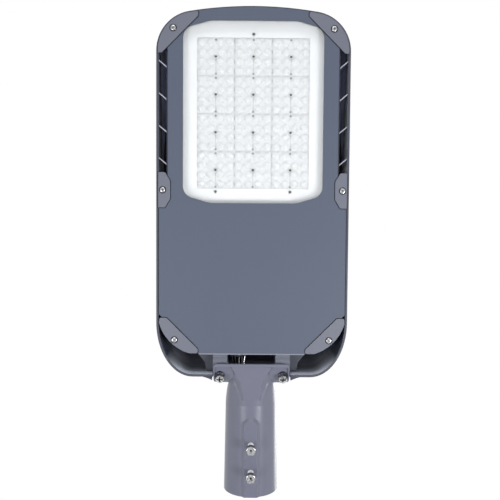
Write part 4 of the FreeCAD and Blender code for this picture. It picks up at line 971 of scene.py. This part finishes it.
gang(ring("tilt_washer_blank", 6.5 * MM, 1.6 * MM, 31.3 * MM, False), "tilt_washers_steel",
     BOLT_MOVES, shaded_washer_steel, "head", "tilt_washers")
gang(ring("spring_washer_blank", 6.2 * MM, 2.0 * MM, 32.9 * MM, True), "tilt_spring_washers_steel",
     BOLT_MOVES, spring_steel, "head", "tilt_spring_washers")

# Clamp screws: two long M8 socket screws with round heads, through the tapped holes of the
# spigot; their ends bite on the pole.
CLAMP_SCREWS = (-72.0, -34.8)
CLAMP_Z = -54.6
CLAMP_HEAD_R = 6.5 * MM
CLAMP_HEAD = 8.0 * MM
CLAMP_RIM_R = 5.9 * MM
SOCKET_FLATS = 5.0 * MM
SOCKET_DEPTH = 3.0 * MM
SOCKET_SHADE_R = 1.5 * MM
CLAMP_EASE = 0.9 * MM
THREAD_TURNS = 17
THREAD_PITCH = 21.6 * MM / THREAD_TURNS
CORE_SHARE = 0.86
NECK = 0.6 * MM
TIP = 0.9 * MM
TIP_SHARE = 0.8


def clamp_screw_shade(x, y, z):
    """Painted shade in the hexagon socket and on the rim of each clamp screw's head."""
    centres = [(0.0, along) for along in CLAMP_SCREWS]
    socket = near(x, y, centres, SOCKET_SHADE_R)
    rim = 1.0 - near(x, y, centres, CLAMP_RIM_R)
    return socket.most(rim * 0.75) * (z < (CLAMP_Z - 0.1) * MM)


clamp_steel = steel("clamp_screw_steel", (0.90, 0.91, 0.93), 0.2, 1800.0, clamp_screw_shade, 0.5)
clamp = bar("clamp_screw_blank", 36, CLAMP_HEAD_R, CLAMP_HEAD, -CLAMP_HEAD / 2)
bpy.ops.object.mode_set(mode="EDIT")
pick_faces(clamp, lambda middle, normal: normal.z > 0.9)
bpy.ops.mesh.inset(thickness=CLAMP_HEAD_R - SHANK_R)
bpy.ops.mesh.extrude_region_move(TRANSFORM_OT_translate={"value": (0, 0, NECK)})
for _ in range(THREAD_TURNS):
    for narrowing in (CORE_SHARE, 1.0 / CORE_SHARE):
        bpy.ops.mesh.extrude_region_move(TRANSFORM_OT_translate={"value": (0, 0, THREAD_PITCH / 2)})
        bpy.ops.transform.resize(value=(narrowing, narrowing, 1.0), center_override=(0, 0, 0))
bpy.ops.mesh.extrude_region_move(TRANSFORM_OT_translate={"value": (0, 0, TIP)})
bpy.ops.transform.resize(value=(TIP_SHARE, TIP_SHARE, 1.0), center_override=(0, 0, 0))
pick_edges(clamp, lambda a, b: max(a.z, b.z) < TINY - CLAMP_HEAD)
bpy.ops.mesh.bevel(offset=CLAMP_EASE, segments=3, affect="EDGES")
bpy.ops.object.mode_set(mode="OBJECT")
socket_tool = bar("hex_socket", 6, SOCKET_FLATS / math.sqrt(3), 2 * SOCKET_DEPTH, -CLAMP_HEAD)
trim(clamp, socket_tool, "DIFFERENCE")
gang(clamp, "clamp_screws_steel", [at(0.0, y, CLAMP_Z) for y in CLAMP_SCREWS],
     clamp_steel, "adapter", "clamp_screws")
